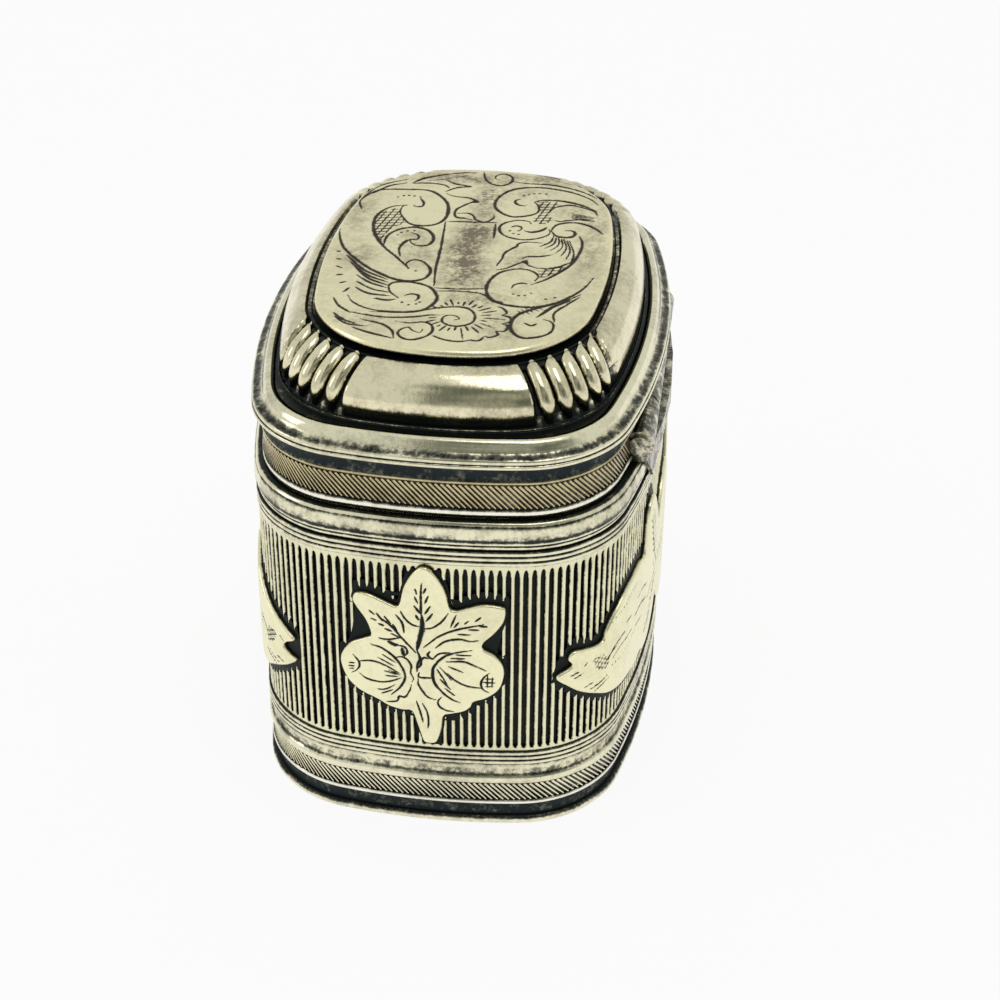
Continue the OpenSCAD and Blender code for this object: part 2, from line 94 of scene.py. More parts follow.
camera_data = bpy.data.cameras.new("camera")
camera_data.lens = LENS
camera_data.sensor_width = 36
camera_data.clip_start = 0.005
camera = bpy.data.objects.new("camera", camera_data)
camera.matrix_world = Matrix.Translation(EYE) @ Matrix((right, up, back)).transposed().to_4x4()
bpy.context.scene.collection.objects.link(camera)
bpy.context.scene.camera = camera
bpy.context.scene.view_settings.view_transform = "Standard"
print("the camera is", round(EYE.length / MM), "mm from the middle of the base")

# %% [markdown]
# ## Shader maths as plain expressions
#
# A finish on old silver is a recipe: so much polish, so much tarnish, black where a cloth never reaches.
# Writing that as node links is hard to read, so a small class wraps a node's socket and lets Python's own
# operators add the Math nodes. Everything else comes from one method that makes any node.

# %% A wire and a recipe
class Wire:
    """An output socket that can be used in sums."""

    def __init__(self, recipe, socket):
        self.recipe = recipe
        self.socket = socket

    def math(self, operation, first, second, clamp=False):
        settings = {"operation": operation, "use_clamp": clamp}
        return self.recipe.node("ShaderNodeMath", settings, {0: first, 1: second})

    def __add__(self, other):
        return self.math("ADD", self, other)

    def __radd__(self, other):
        return self.math("ADD", other, self)

    def __sub__(self, other):
        return self.math("SUBTRACT", self, other)

    def __rsub__(self, other):
        return self.math("SUBTRACT", other, self)

    def __mul__(self, other):
        return self.math("MULTIPLY", self, other)

    def __rmul__(self, other):
        return self.math("MULTIPLY", other, self)

    def clamp(self):
        return self.math("ADD", self, 0.0, clamp=True)

    def step(self, low, high):
        """0 below low, 1 above high and smooth between them."""
        settings = {"interpolation_type": "SMOOTHSTEP"}
        return self.recipe.node("ShaderNodeMapRange", settings, {0: self, 1: low, 2: high})


class Recipe:
    """A material or world under construction."""

    def __init__(self, owner):
        owner.use_nodes = True
        self.owner = owner
        self.tree = owner.node_tree
        self.tree.nodes.clear()

    def node(self, kind, settings=None, sockets=None, output=0):
        made = self.tree.nodes.new(kind)
        for key, value in (settings or {}).items():
            setattr(made, key, value)
        for key, value in (sockets or {}).items():
            if isinstance(value, Wire):
                self.tree.links.new(value.socket, made.inputs[key])
            else:
                made.inputs[key].default_value = value
        return Wire(self, made.outputs[output]) if len(made.outputs) else made

    def mix(self, factor, first, second):
        """A colour between two colours."""
        settings = {"data_type": "RGBA"}
        return self.node("ShaderNodeMix", settings, {0: factor, 6: first, 7: second}, output=2)


print("recipes ready")

# %% [markdown]
# ## Plain light
#
# Polished silver shows whatever stands round it, so its light is mostly a room. The world is pale behind the
# box and at its sides, and grey in front, where the viewer stands. One large soft panel hangs overhead: it draws the
# white band along every rounded edge. The floor is white paper. It glows a little for the camera, so it
# reads as white, and keeps a share of plain diffuse paper, so it keeps the box's shadow.

# %% World
WHITE = (1.0, 1.0, 1.0, 1.0)
ROOM_PALE = (0.86, 0.88, 0.86, 1.0)
ROOM_GREY = (0.16, 0.18, 0.16, 1.0)
ROOM_DIM = (0.42, 0.44, 0.40, 1.0)

world = bpy.data.worlds.new("studio")
bpy.context.scene.world = world
room = Recipe(world)
direction = room.node("ShaderNodeTexCoord", output="Generated")
axes = room.node("ShaderNodeSeparateXYZ", {}, {0: direction}).socket.node
toward_back = Wire(room, axes.outputs[1])
sideways = Wire(room, axes.outputs[0])
height = Wire(room, axes.outputs[2])
furniture = room.node("ShaderNodeTexNoise", {}, {"Vector": direction, "Scale": 3.2, "Detail": 3.0})
front_share = (0.0 - toward_back).step(0.30, 0.48) * height.step(0.02, 0.14)
front_share = front_share * (sideways + (furniture - 0.5) * 0.3).step(-0.26, -0.14)
front_colour = room.mix(furniture.step(0.42, 0.6), ROOM_GREY, ROOM_DIM)
room_colour = room.mix(front_share, ROOM_PALE, front_colour)
path = room.node("ShaderNodeLightPath").socket.node
seen = Wire(room, path.outputs["Is Camera Ray"])
sky = room.node("ShaderNodeBackground", {}, {"Color": room_colour, "Strength": 0.85})
paper_sky = room.node("ShaderNodeBackground", {}, {"Color": WHITE, "Strength": 1.0})
both = room.node("ShaderNodeMixShader", {}, {0: seen, 1: sky, 2: paper_sky})
room.node("ShaderNodeOutputWorld", {}, {"Surface": both})


def soft_panel(name, place_mm, target_mm, size_mm, watts, turned=0.0):
    """A rectangular lamp that faces a point and may be turned round its own middle, in degrees."""
    data = bpy.data.lights.new(name, "AREA")
    data.shape = "RECTANGLE"
    data.size, data.size_y = (side * MM for side in size_mm)
    data.energy = watts
    lamp = bpy.data.objects.new(name, data)
    place = Vector(place_mm) * MM
    aim = Vector(target_mm) * MM - place
    facing = aim.to_track_quat("-Z", "Y").to_matrix().to_4x4()
    lamp.matrix_world = Matrix.Translation(place) @ facing @ Matrix.Rotation(radians(turned), 4, "Z")
    bpy.context.scene.collection.objects.link(lamp)
    return lamp


soft_panel("overhead_panel", (66, -70, 262), (66, -70, 20), (132, 132), 0.085, turned=30)
soft_panel("left_panel", (-230, -60, 120), (0, 0, 15), (90, 120), 0.05)

# %% Floor
FLOOR_HALF = 2500 * MM
FLOOR_DROP = -0.01 * MM

paper = Recipe(bpy.data.materials.new("white_paper"))
grain = paper.node("ShaderNodeTexNoise", {}, {"Scale": 900.0, "Detail": 4.0})
paper_colour = paper.mix(grain, (0.90, 0.91, 0.90, 1.0), (0.94, 0.95, 0.94, 1.0))
diffuse = paper.node("ShaderNodeBsdfDiffuse", {}, {"Color": paper_colour})
glow = paper.node("ShaderNodeEmission", {}, {"Color": WHITE, "Strength": 1.0})
rays = paper.node("ShaderNodeLightPath").socket.node
shown = Wire(paper, rays.outputs["Is Camera Ray"]) + Wire(paper, rays.outputs["Is Glossy Ray"])
shown = shown + Wire(paper, rays.outputs["Is Transmission Ray"])
surface = paper.node("ShaderNodeMixShader", {}, {0: shown.clamp() * 0.9, 1: diffuse, 2: glow})
paper.node("ShaderNodeOutputMaterial", {}, {"Surface": surface})

corners = [(-1, -1), (1, -1), (1, 1), (-1, 1)]
floor_mesh = bpy.data.meshes.new("floor")
floor_mesh.from_pydata([(x * FLOOR_HALF, y * FLOOR_HALF, FLOOR_DROP) for x, y in corners], [], [(0, 1, 2, 3)])
floor_mesh.materials.append(paper.owner)
floor = bpy.data.objects.new("floor", floor_mesh)
bpy.context.scene.collection.objects.link(floor)
print("floor laid")

# %% [markdown]
# ## Old silver
#
# Every finish here is the same metal at a different stage. Rubbed silver is pale with a warm cast. Where it
# is handled less it yellows in soft patches, and in cuts and corners it turns blue-black, because no cloth reaches
# there. Each mesh carries that last part as an attribute called "film": 0 on ground that is rubbed and 1 at the
# bottom of a cut. The shader breaks its edge up with fine noise, dulls the metal under it and lets fine
# scratches and pits catch the light.
# In a few places the film is painted shade as well as tarnish: in the cove under the lid's rim, on the dark sheet round
# the applied pieces and on the hinge.

# %% Silver
FILM_BLACK = (0.012, 0.016, 0.014, 1.0)
FILM_BLUE = (0.016, 0.024, 0.026, 1.0)
FILM_BROWN = (0.045, 0.034, 0.022, 1.0)
FILM_THIN = (0.15, 0.145, 0.11, 1.0)


def silver(name, rubbed, tarnished, patches=0.5, shine=0.2, film_over_all=0.0, film_dark=FILM_BLACK):
    """Old silver. The colours are the rubbed and tarnished metal, and patches says how much is tarnished."""
    make = Recipe(bpy.data.materials.new(name))
    place = make.node("ShaderNodeTexCoord", output="Object")
    broad = make.node("ShaderNodeTexNoise", {}, {"Vector": place, "Scale": 190.0, "Detail": 4.0, "Roughness": 0.6})
    mottle = make.node("ShaderNodeTexNoise", {}, {"Vector": place, "Scale": 900.0, "Detail": 5.0, "Roughness": 0.65})
    fine = make.node("ShaderNodeTexNoise", {}, {"Vector": place, "Scale": 3600.0, "Detail": 4.0, "Roughness": 0.7})
    drawn = make.node("ShaderNodeMapping", {}, {0: place, 3: (5200.0, 900.0, 900.0)})
    scratch = make.node("ShaderNodeTexNoise", {}, {"Vector": drawn, "Scale": 1.0, "Detail": 3.0})
    cut = make.node("ShaderNodeAttribute", {"attribute_name": "film"}, output="Fac")
    worn_over = make.node("ShaderNodeAttribute", {"attribute_name": "tarnish"}, output="Fac")
    base_film = cut + film_over_all
    loose = base_film.step(0.04, 0.4)
    film = base_film * 1.2 + (mottle - 0.5) * 1.5 * loose + (fine - 0.5) * 0.8 * loose - 0.06
    film = film.clamp()
    stain = (broad - 0.45) * 3.4 * patches + (mottle - 0.48) * 2.6 * patches + (fine - 0.5) * 1.8 * patches
    stain = (stain + worn_over * (mottle * 2.8 + fine * 2.2 - 1.6) + cut * 0.75).clamp()
    metal = make.mix(stain, (*rubbed, 1.0), (*tarnished, 1.0))
    thin = make.mix(film.step(0.12, 0.5), metal, FILM_THIN)
    colour = make.mix(film.step(0.4, 0.85), thin, film_dark)
    roughness = shine + stain * 0.12 + film * 0.2 + (scratch - 0.5) * 0.12 + (fine - 0.5) * 0.1
    relief = mottle * 0.5 + fine * 0.12 + scratch * 0.1
    bump = make.node("ShaderNodeBump", {}, {"Strength": 0.7, "Distance": 0.00003, "Height": relief})
    shader = make.node("ShaderNodeBsdfPrincipled", {}, {
        "Base Color": colour,
        "Metallic": 1.0 - film.step(0.45, 0.95) * 0.2,
        "Roughness": roughness.clamp(),
        "Normal": bump,
    })
    make.node("ShaderNodeOutputMaterial", {}, {"Surface": shader})
    return make.owner


FINISHES = {
    "engraved_silver": silver(
        "engraved_silver", (0.92, 0.85, 0.56), (0.24, 0.19, 0.13), patches=0.22, shine=0.26, film_dark=FILM_BROWN
    ),
    "applied_silver": silver("applied_silver", (0.91, 0.87, 0.58), (0.50, 0.44, 0.27), patches=0.24, shine=0.3),
    "ribbed_silver": silver("ribbed_silver", (0.82, 0.79, 0.54), (0.46, 0.42, 0.26), patches=0.32, shine=0.24),
    "worn_silver": silver("worn_silver", (0.84, 0.80, 0.58), (0.24, 0.21, 0.14), patches=0.42, shine=0.16),
    "bright_silver": silver("bright_silver", (0.94, 0.91, 0.78), (0.46, 0.41, 0.29), patches=0.34, shine=0.16),
    "cushion_silver": silver("cushion_silver", (0.82, 0.76, 0.53), (0.34, 0.29, 0.19), patches=0.5, shine=0.13),
    "gilt_band": silver("gilt_band", (0.60, 0.52, 0.30), (0.26, 0.21, 0.12), patches=0.5, shine=0.26,
                        film_dark=FILM_BROWN),
    "oxidised_silver": silver(
        "oxidised_silver", (0.46, 0.50, 0.46), (0.14, 0.16, 0.15), patches=0.6, film_over_all=0.12,
        film_dark=FILM_BLUE,
    ),
    "plain_silver": silver("plain_silver", (0.84, 0.81, 0.70), (0.48, 0.44, 0.33), patches=0.35, shine=0.26),
    # The hinge's colours are darker and its film covers it all over: painted shade on the hinge barrel, besides its
    # mottled tarnish
    "hinge_silver": silver(
        "hinge_silver", (0.66, 0.62, 0.48), (0.20, 0.18, 0.13), patches=0.7, film_over_all=0.36
    ),
}
for node_name, node_object in frame["nodes"].items():
    slots = {part["node"]: part["material_slot"] for part in frame["record"]["subparts"]}
    node_object.data.materials.clear()
    node_object.data.materials.append(FINISHES[slots[node_name]])
print("finishes:", ", ".join(FINISHES))

# %% [markdown]
# ## The outline that every strip follows
#
# Seen from above the box is a rectangle with bowed sides and round corners, made of arcs that run into each
# other. A silversmith bends each strip round the same form, so one function here walks that form: v from 0
# to 12 goes once round, three arcs to each quarter. Its points and outward directions place everything else.

# %% The outline
BACKING = 0.5
CORNER_R, SIDE_R, END_R = 7.1, 52.0, 38.5
PLATE_CORNER_R, PLATE_SIDE_R, PLATE_END_R = 7.3, 46.0, 15.2


class Outline:
    """A bowed rectangle of tangent arcs, in millimetres."""

    def __init__(self, half_w, half_l, corner_r, side_r, end_r):
        self.sizes = np.array([half_w, half_l, corner_r, side_r, end_r], float)
        side_c = np.array([half_w - side_r, 0.0])
        end_c = np.array([0.0, half_l - end_r])
        reach_a, reach_b = side_r - corner_r, end_r - corner_r
        gap = np.linalg.norm(end_c - side_c)
        run = (end_c - side_c) / gap
        along = (gap * gap + reach_a * reach_a - reach_b * reach_b) / (2 * gap)
        off = (reach_a * reach_a - along * along) ** 0.5
        corner_c = side_c + along * run + off * np.array([-run[1], run[0]])
        start = atan2(corner_c[1], corner_c[0] - side_c[0])
        end = atan2(corner_c[1] - end_c[1], corner_c[0])
        self.centres = np.array([side_c, corner_c, end_c])
        self.radii = np.array([side_r, corner_r, end_r])
        self.angles = np.array([0.0, start, end, pi / 2])
        arcs = self.radii * np.diff(self.angles)
        quarter = list(arcs) + list(arcs[::-1])
        self.lengths = np.concatenate([[0.0], np.cumsum(quarter * 2)])

    def walk(self, v):
        """Points and outward directions at each v."""
        v = np.mod(np.asarray(v, float), 12.0)
        quarter = np.floor(v / 3).astype(int)
        w = v - 3 * quarter
        w = np.where(quarter % 2 == 0, w, 3 - w)
        arc = np.clip(np.floor(w).astype(int), 0, 2)
        angle = self.angles[arc] + (w - arc) * (self.angles[arc + 1] - self.angles[arc])
        out = np.stack([np.cos(angle), np.sin(angle)], -1)
        sign = np.stack([np.where((quarter == 1) | (quarter == 2), -1, 1), np.where(quarter >= 2, -1, 1)], -1)
        return (self.centres[arc] + self.radii[arc][..., None] * out) * sign, out * sign

    def at_length(self, s):
        """The v at distances along the outline from the middle of the hinge side."""
        return np.interp(np.mod(s, self.lengths[-1]), self.lengths, np.arange(13))

    def distance(self, points):
        """How far outside the outline points lie, and the direction straight out."""
        sign = np.where(points < 0, -1.0, 1.0)
        p = np.abs(points)
        from_c = p[:, None, :] - self.centres[None]
        angle = np.arctan2(from_c[..., 1], from_c[..., 0])
        arc = np.where(angle[:, 0] <= self.angles[1], 0, np.where(angle[:, 2] >= self.angles[2], 2, 1))
        picked = from_c[np.arange(len(p)), arc]
        length = np.linalg.norm(picked, axis=1)
        return length - self.radii[arc], picked / np.maximum(length, 1e-9)[:, None] * sign


case_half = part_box("inner_case")[1] / MM
plate_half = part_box("lid_top_plate")[1] / MM
CASE = Outline(case_half.x + BACKING, case_half.y + BACKING, CORNER_R, SIDE_R, END_R)
PLATE = Outline(plate_half.x, plate_half.y, PLATE_CORNER_R, PLATE_SIDE_R, PLATE_END_R)
print("once round the case is", round(CASE.lengths[-1], 1), "mm")

# %% [markdown]
# ## Meshes from rows of points
#
# A swept strip, a stamped shell and an engraved sheet are all rows of points with faces between them.
# Two helpers cover them: one joins a grid of points into quads, the other turns points and faces into a piece
# that has its finish, its "film" values, smooth shading with crisp corners, and its place in the frame.

# %% Mesh helpers
CRISP = radians(38)


def grid_faces(rows, columns, close_rows, close_columns):
    """Quads between the neighbours of a grid of points, numbered row by row."""
    i = np.arange(rows if close_rows else rows - 1)
    j = np.arange(columns if close_columns else columns - 1)
    i, j = np.meshgrid(i, j, indexing="ij")
    i2, j2 = (i + 1) % rows, (j + 1) % columns
    corners = [i * columns + j, i * columns + j2, i2 * columns + j2, i2 * columns + j]
    return np.stack([c.ravel() for c in corners], -1).tolist()


def mesh_of(name, points_mm, faces, film, finish, tarnish=None):
    """A mesh in metres with outward faces, crisp corners, its film and its tarnish."""
    mesh = bpy.data.meshes.new(name)
    mesh.from_pydata((np.asarray(points_mm) * MM).tolist(), [], faces)
    for attribute, values in (("film", film), ("tarnish", tarnish)):
        if values is not None:
            data = mesh.attributes.new(attribute, "FLOAT", "POINT").data
            data.foreach_set("value", np.asarray(values, np.float32))
    work = bmesh.new()
    work.from_mesh(mesh)
    bmesh.ops.recalc_face_normals(work, faces=work.faces)
    work.to_mesh(mesh)
    work.free()
    mesh.shade_smooth()
    mesh.set_sharp_from_angle(angle=CRISP)
    mesh.materials.append(FINISHES[finish])
    return mesh


def piece(name, mesh, body, finish, *nodes):
    """A finished piece that rides on a body and stands for some nodes."""
    made = bpy.data.objects.new(name, mesh)
    bpy.context.scene.collection.objects.link(made)
    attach(made, body)
    if nodes:
        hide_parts(*nodes)
    print(name, "has", len(mesh.polygons), "faces")
    return made


def spline(points, per_span):
    """A smooth curve through points of any dimension, with a few steps to each span."""
    p = np.asarray(points, float)
    p = np.vstack([2 * p[0] - p[1], p, 2 * p[-1] - p[-2]])
    t = np.linspace(0, 1, per_span, endpoint=False)[:, None]
    spans = []
    for a, b, c, d in zip(p[:-3], p[1:-2], p[2:-1], p[3:]):
        spans.append(b + 0.5 * t * (c - a + t * (2 * a - 5 * b + 4 * c - d + t * (3 * (b - c) + d - a))))
    return np.vstack(spans + [p[-2][None]])


print("helpers ready")

# %% [markdown]
# ## Drawn and reeded strips
#
# The wires, reeds and mouldings were drawn through shaped plates and then bent round the case. So each is one
# profile swept along the outline. A profile is a list of [distance out, height, film], made smooth by a
# curve through it, and its last side lies hidden on the backing. Some strips on the lid stop on either side
# of the hinge.

# %% Sweep a profile round the box
STRIP_D = -0.48
LID_STRIP_D = -0.58
STATIONS = (14, 22, 12)
NOTCH_HALF = 10.15
turn = []
for quarter in range(4):
    counts = STATIONS if quarter % 2 == 0 else STATIONS[::-1]
    for arc, count in enumerate(counts):
        turn.extend(quarter * 3 + arc + np.arange(count) / count)
turn = np.array(turn)


def sweep(name, profile, finish, body, *nodes, backing=STRIP_D, smooth=5, notch=False):
    """A closed strip round the case, with a smooth face and a straight back."""
    face = spline(profile, smooth) if smooth else np.asarray(profile, float)
    low, high = face[0], face[-1]
    section = np.vstack([[backing, low[1], 1.0], face, [backing, high[1], 1.0]])
    v = turn
    if notch:
        gap = np.interp(NOTCH_HALF, [0, CASE.lengths[1]], [0, 1])
        v = np.concatenate([[gap], turn[(turn > gap) & (turn < 12 - gap)], [12 - gap]])
    at, out = CASE.walk(v)
    flat = at[None] + section[:, 0, None, None] * out[None]
    z = np.broadcast_to(section[:, 1, None, None], flat.shape[:2] + (1,))
    points = np.concatenate([flat, z], -1).reshape(-1, 3)
    rows, columns = len(section), len(v)
    faces = grid_faces(rows, columns, True, not notch)
    if notch:
        faces.append([r * columns for r in range(rows)])
        faces.append([r * columns + columns - 1 for r in range(rows)])
    film = np.repeat(section[:, 2], columns)
    return piece(name, mesh_of(name, points, faces, film, finish), body, finish, *nodes)


def bead(low, high, back_d, crest_d, edge_film=0.9, spread=4):
    """A half-round face between two heights, dark at its edges. A small spread takes the dark far in."""
    angle = np.linspace(-0.5, 0.5, 9) * pi
    d = back_d + (crest_d - back_d) * np.cos(angle)
    z = (low + high) / 2 + (high - low) / 2 * np.sin(angle)
    dark = edge_film * np.abs(np.sin(angle)) ** spread
    return np.stack([d, z, dark], -1)


# %% Foot
low, high = span("foot_band")
sweep("foot_plain_band", [
    [-0.05, low, 0.9], [-0.07, low + 0.15, 0.62], [-0.08, (low + high) / 2, 0.6],
    [-0.07, high - 0.15, 0.66], [-0.05, high, 0.9],
], "oxidised_silver", "case", "foot_band")
low, high = span("foot_wire")
sweep("foot_bright_wire", bead(low, high, 0.06, 0.2), "bright_silver", "case", "foot_wire", smooth=0)
low, high = span("foot_moulding")
tall = high - low
sweep("foot_round_moulding", [
    [0.10, low, 0.9], [0.24, low + 0.05 * tall, 0.3], [0.30, low + 0.14 * tall, 0.0],
    [0.30, low + 0.26 * tall, 0.0], [0.24, low + 0.36 * tall, 0.15], [0.12, low + 0.44 * tall, 0.5],
    [0.06, low + 0.54 * tall, 0.30], [0.04, low + 0.66 * tall, 0.26], [0.06, low + 0.80 * tall, 0.15],
    [0.12, low + 0.92 * tall, 0.25], [0.14, low + 0.97 * tall, 0.5], [0.10, high, 0.95],
], "worn_silver", "case", "foot_moulding")

# %% Reeds
def reeds(name, node, crest_d):
    """Three fine reeds, each a small bead with a dark cut beside it."""
    low, high = span(node)
    pitch = (high - low) / 3
    face = [bead(low + i * pitch, low + (i + 1) * pitch, crest_d - 0.13, crest_d, 1.0, 2.4) for i in range(3)]
    sweep(name, np.vstack(face), "worn_silver", "case", node, smooth=0)


reeds("lower_fine_reeds", "lower_reeds", 0.26)
reeds("upper_fine_reeds", "upper_reeds", 0.20)

# %% Mouth
low, high = span("mouth_moulding")
tall = high - low
sweep("mouth_round_moulding", [
    [0.00, low, 1.0], [0.05, low + 0.07 * tall, 0.3], [0.06, low + 0.12 * tall, 0.0], [0.04, low + 0.17 * tall, 0.9],
    [0.10, low + 0.21 * tall, 0.4], [0.15, low + 0.26 * tall, 0.0], [0.14, low + 0.32 * tall, 0.6],
    [0.19, low + 0.38 * tall, 0.85], [0.24, low + 0.46 * tall, 0.4], [0.26, low + 0.57 * tall, 0.22],
    [0.25, low + 0.70 * tall, 0.15], [0.19, low + 0.82 * tall, 0.22], [0.12, low + 0.89 * tall, 0.6],
    [0.09, low + 0.93 * tall, 0.0], [0.00, low + 0.98 * tall, 0.1], [-0.10, high, 0.7],
], "worn_silver", "case", "mouth_moulding")

# %% Lid strips
low, high = span("lid_lower_wire")
sweep(
    "lid_bright_lower_wire", bead(low, high, -0.52, -0.36, 1.0, 2.5), "bright_silver", "lid", "lid_lower_wire",
    backing=LID_STRIP_D, smooth=0, notch=True,
)
low, high = span("lid_fillet")
sweep(
    "lid_dull_fillet", bead(low, high, -0.5, -0.38, 1.0, 2), "gilt_band", "lid", "lid_fillet",
    backing=LID_STRIP_D, smooth=0,
)
# The cove's dark film is partly oxide and partly painted shade under the overhanging rim
low, high = span("lid_cove")
tall = high - low
sweep("lid_dark_cove", [
    [-0.42, low, 0.4], [-0.48, low + 0.1 * tall, 0.56], [-0.52, low + 0.35 * tall, 0.68],
    [-0.50, low + 0.6 * tall, 0.7], [-0.42, low + 0.82 * tall, 0.6], [-0.29, high, 0.4],
], "oxidised_silver", "lid", "lid_cove", backing=LID_STRIP_D)
low, high = span("lid_rim")
tall = high - low
sweep("lid_round_rim", [
    [-0.30, low, 1.0], [0.02, low + 0.01 * tall, 0.7], [0.12, low + 0.04 * tall, 0.1],
    [0.15, low + 0.10 * tall, 0.0], [0.13, low + 0.17 * tall, 0.0], [0.05, low + 0.215 * tall, 0.8],
    [0.07, low + 0.26 * tall, 0.1], [0.08, low + 0.32 * tall, 0.0], [0.05, low + 0.39 * tall, 0.05],
    [-0.06, low + 0.45 * tall, 0.44], [-0.24, low + 0.49 * tall, 0.54], [-0.42, low + 0.54 * tall, 0.36],
    [-0.55, low + 0.63 * tall, 0.15], [-0.66, low + 0.78 * tall, 0.0], [-0.80, low + 0.92 * tall, 0.0],
    [-0.98, high - 0.01, 0.0], [-1.14, high - 0.01, 0.05], [-1.28, low + 0.92 * tall, 0.3],
    [-1.38, low + 0.80 * tall, 0.8], [-1.40, low + 0.6 * tall, 1.0],
], "worn_silver", "lid", "lid_rim", backing=-0.8)

# %% Base
low, high = span("base_plate")
at, out = CASE.walk(turn)
rings = [[-0.5, 0.0, 0.5], [0.1, 0.0, 0.6], [0.22, 0.05, 0.2], [0.29, 0.17, 0.0], [0.3, 0.3, 0.05],
         [0.27, 0.45, 0.45], [0.17, 0.56, 0.8], [0.0, high, 0.9], [-0.6, high, 0.3]]
base_points = np.concatenate([np.c_[at + d * out, np.full(len(at), z)] for d, z, _ in rings])
base_film = np.repeat([film for _, _, film in rings], len(turn))
base_faces = grid_faces(len(rings), len(turn), False, True)
base_faces.append(list(range(len(turn))))
base_faces.append(list(range((len(rings) - 1) * len(turn), len(rings) * len(turn))))
base_mesh = mesh_of("base_dish", base_points, base_faces, base_film, "worn_silver")
piece("base_dish", base_mesh, "case", "worn_silver", "base_plate")

# %% [markdown]
# ## Ribs and milled strokes, by Geometry Nodes
#
# Two hundred ribs and two bands of slanting strokes are each one small shape repeated round the outline.
# Geometry Nodes is made for that: the tree resamples the outline into evenly spaced points, stands one copy of
# the pattern on each, turned with the curve, and leaves the hinge's place free. A pattern is drawn as seen from
# the front: x along the strip, z up and the outside towards the viewer, at negative y.

# %% The tree that wraps a pattern round the box
def wrap_tree():
    tree = bpy.data.node_groups.new("wrap_round_outline", "GeometryNodeTree")
    for name, kind in (
        ("Ground", "NodeSocketGeometry"), ("Outline", "NodeSocketObject"), ("Pattern", "NodeSocketObject"),
        ("Count", "NodeSocketInt"), ("Hinge half length", "NodeSocketFloat"), ("Finish", "NodeSocketMaterial"),
    ):
        tree.interface.new_socket(name, in_out="INPUT", socket_type=kind)
    tree.interface.new_socket("Result", in_out="OUTPUT", socket_type="NodeSocketGeometry")

    def node(kind, settings=None, sockets=None):
        made = tree.nodes.new(kind)
        for key, value in (settings or {}).items():
            setattr(made, key, value)
        for key, value in (sockets or {}).items():
            if isinstance(value, bpy.types.NodeSocket):
                tree.links.new(value, made.inputs[key])
            else:
                made.inputs[key].default_value = value
        return made

    given = node("NodeGroupInput").outputs
    outline = node("GeometryNodeObjectInfo", {}, {"Object": given["Outline"]})
    pattern = node("GeometryNodeObjectInfo", {}, {"Object": given["Pattern"]})
    points = node("GeometryNodeResampleCurve", {}, {"Curve": outline.outputs["Geometry"], "Count": given["Count"]})
    tangent = node("GeometryNodeInputTangent")
    axes = {"primary_axis": "Z", "secondary_axis": "X"}
    upright = {"Primary Axis": (0.0, 0.0, 1.0), "Secondary Axis": tangent.outputs[0]}
    turned = node("FunctionNodeAxesToRotation", axes, upright)
    place = node("ShaderNodeSeparateXYZ", {}, {0: node("GeometryNodeInputPosition").outputs[0]})
    away = node("ShaderNodeMath", {"operation": "ABSOLUTE"}, {0: place.outputs["Y"]})
    beside = node("FunctionNodeCompare", {"operation": "GREATER_THAN"}, {0: away.outputs[0], 1: given["Hinge half length"]})
    left = node("FunctionNodeCompare", {"operation": "LESS_THAN"}, {0: place.outputs["X"], 1: 0.0})
    free = node("FunctionNodeBooleanMath", {"operation": "OR"}, {0: beside.outputs[0], 1: left.outputs[0]})
    copies = node("GeometryNodeInstanceOnPoints", {}, {
        "Points": points.outputs[0], "Selection": free.outputs[0],
        "Instance": pattern.outputs["Geometry"], "Rotation": turned.outputs[0],
    })
    join = node("GeometryNodeJoinGeometry")
    tree.links.new(copies.outputs[0], join.inputs[0])
    tree.links.new(given["Ground"], join.inputs[0])
    real = node("GeometryNodeRealizeInstances", {}, {0: join.outputs[0]})
    dressed = node("GeometryNodeSetMaterial", {}, {"Geometry": real.outputs[0], "Material": given["Finish"]})
    node("NodeGroupOutput", {}, {0: dressed.outputs[0]})
    return tree


WRAP = wrap_tree()


def outline_curve(name, d):
    """The outline as a closed curve, d outside the plan."""
    at, out = CASE.walk(turn)
    curve = bpy.data.curves.new(name, "CURVE")
    curve.dimensions = "3D"
    line = curve.splines.new("POLY")
    line.points.add(len(turn) - 1)
    flat = at + d * out
    line.points.foreach_set("co", np.c_[flat * MM, np.zeros(len(flat)), np.ones(len(flat))].ravel())
    line.use_cyclic_u = True
    made = bpy.data.objects.new(name, curve)
    bpy.context.scene.collection.objects.link(made)
    return made


def wrapped(name, ground, pattern, count, d, hinge_half, finish, body, *nodes):
    """The ground with copies of the pattern round it, as one plain mesh."""
    holder = bpy.data.objects.new(name + "_ground", ground)
    stamp = bpy.data.objects.new(name + "_pattern", pattern)
    guide = outline_curve(name + "_outline", d)
    for thing in (holder, stamp):
        bpy.context.scene.collection.objects.link(thing)
    modifier = holder.modifiers.new("wrap", "NODES")
    modifier.node_group = WRAP
    inputs = {
        "Outline": guide, "Pattern": stamp, "Count": count,
        "Hinge half length": hinge_half * MM, "Finish": FINISHES[finish],
    }
    for item in WRAP.interface.items_tree:
        if item.in_out == "INPUT" and item.name in inputs:
            modifier[item.identifier] = inputs[item.name]
    depsgraph = bpy.context.evaluated_depsgraph_get()
    depsgraph.update()
    result = bpy.data.meshes.new_from_object(
        holder.evaluated_get(depsgraph), preserve_all_data_layers=True, depsgraph=depsgraph
    )
    for thing in (holder, stamp, guide):
        bpy.data.objects.remove(thing)
    result.name = name
    result.set_sharp_from_angle(angle=CRISP)
    return piece(name, result, body, finish, *nodes)


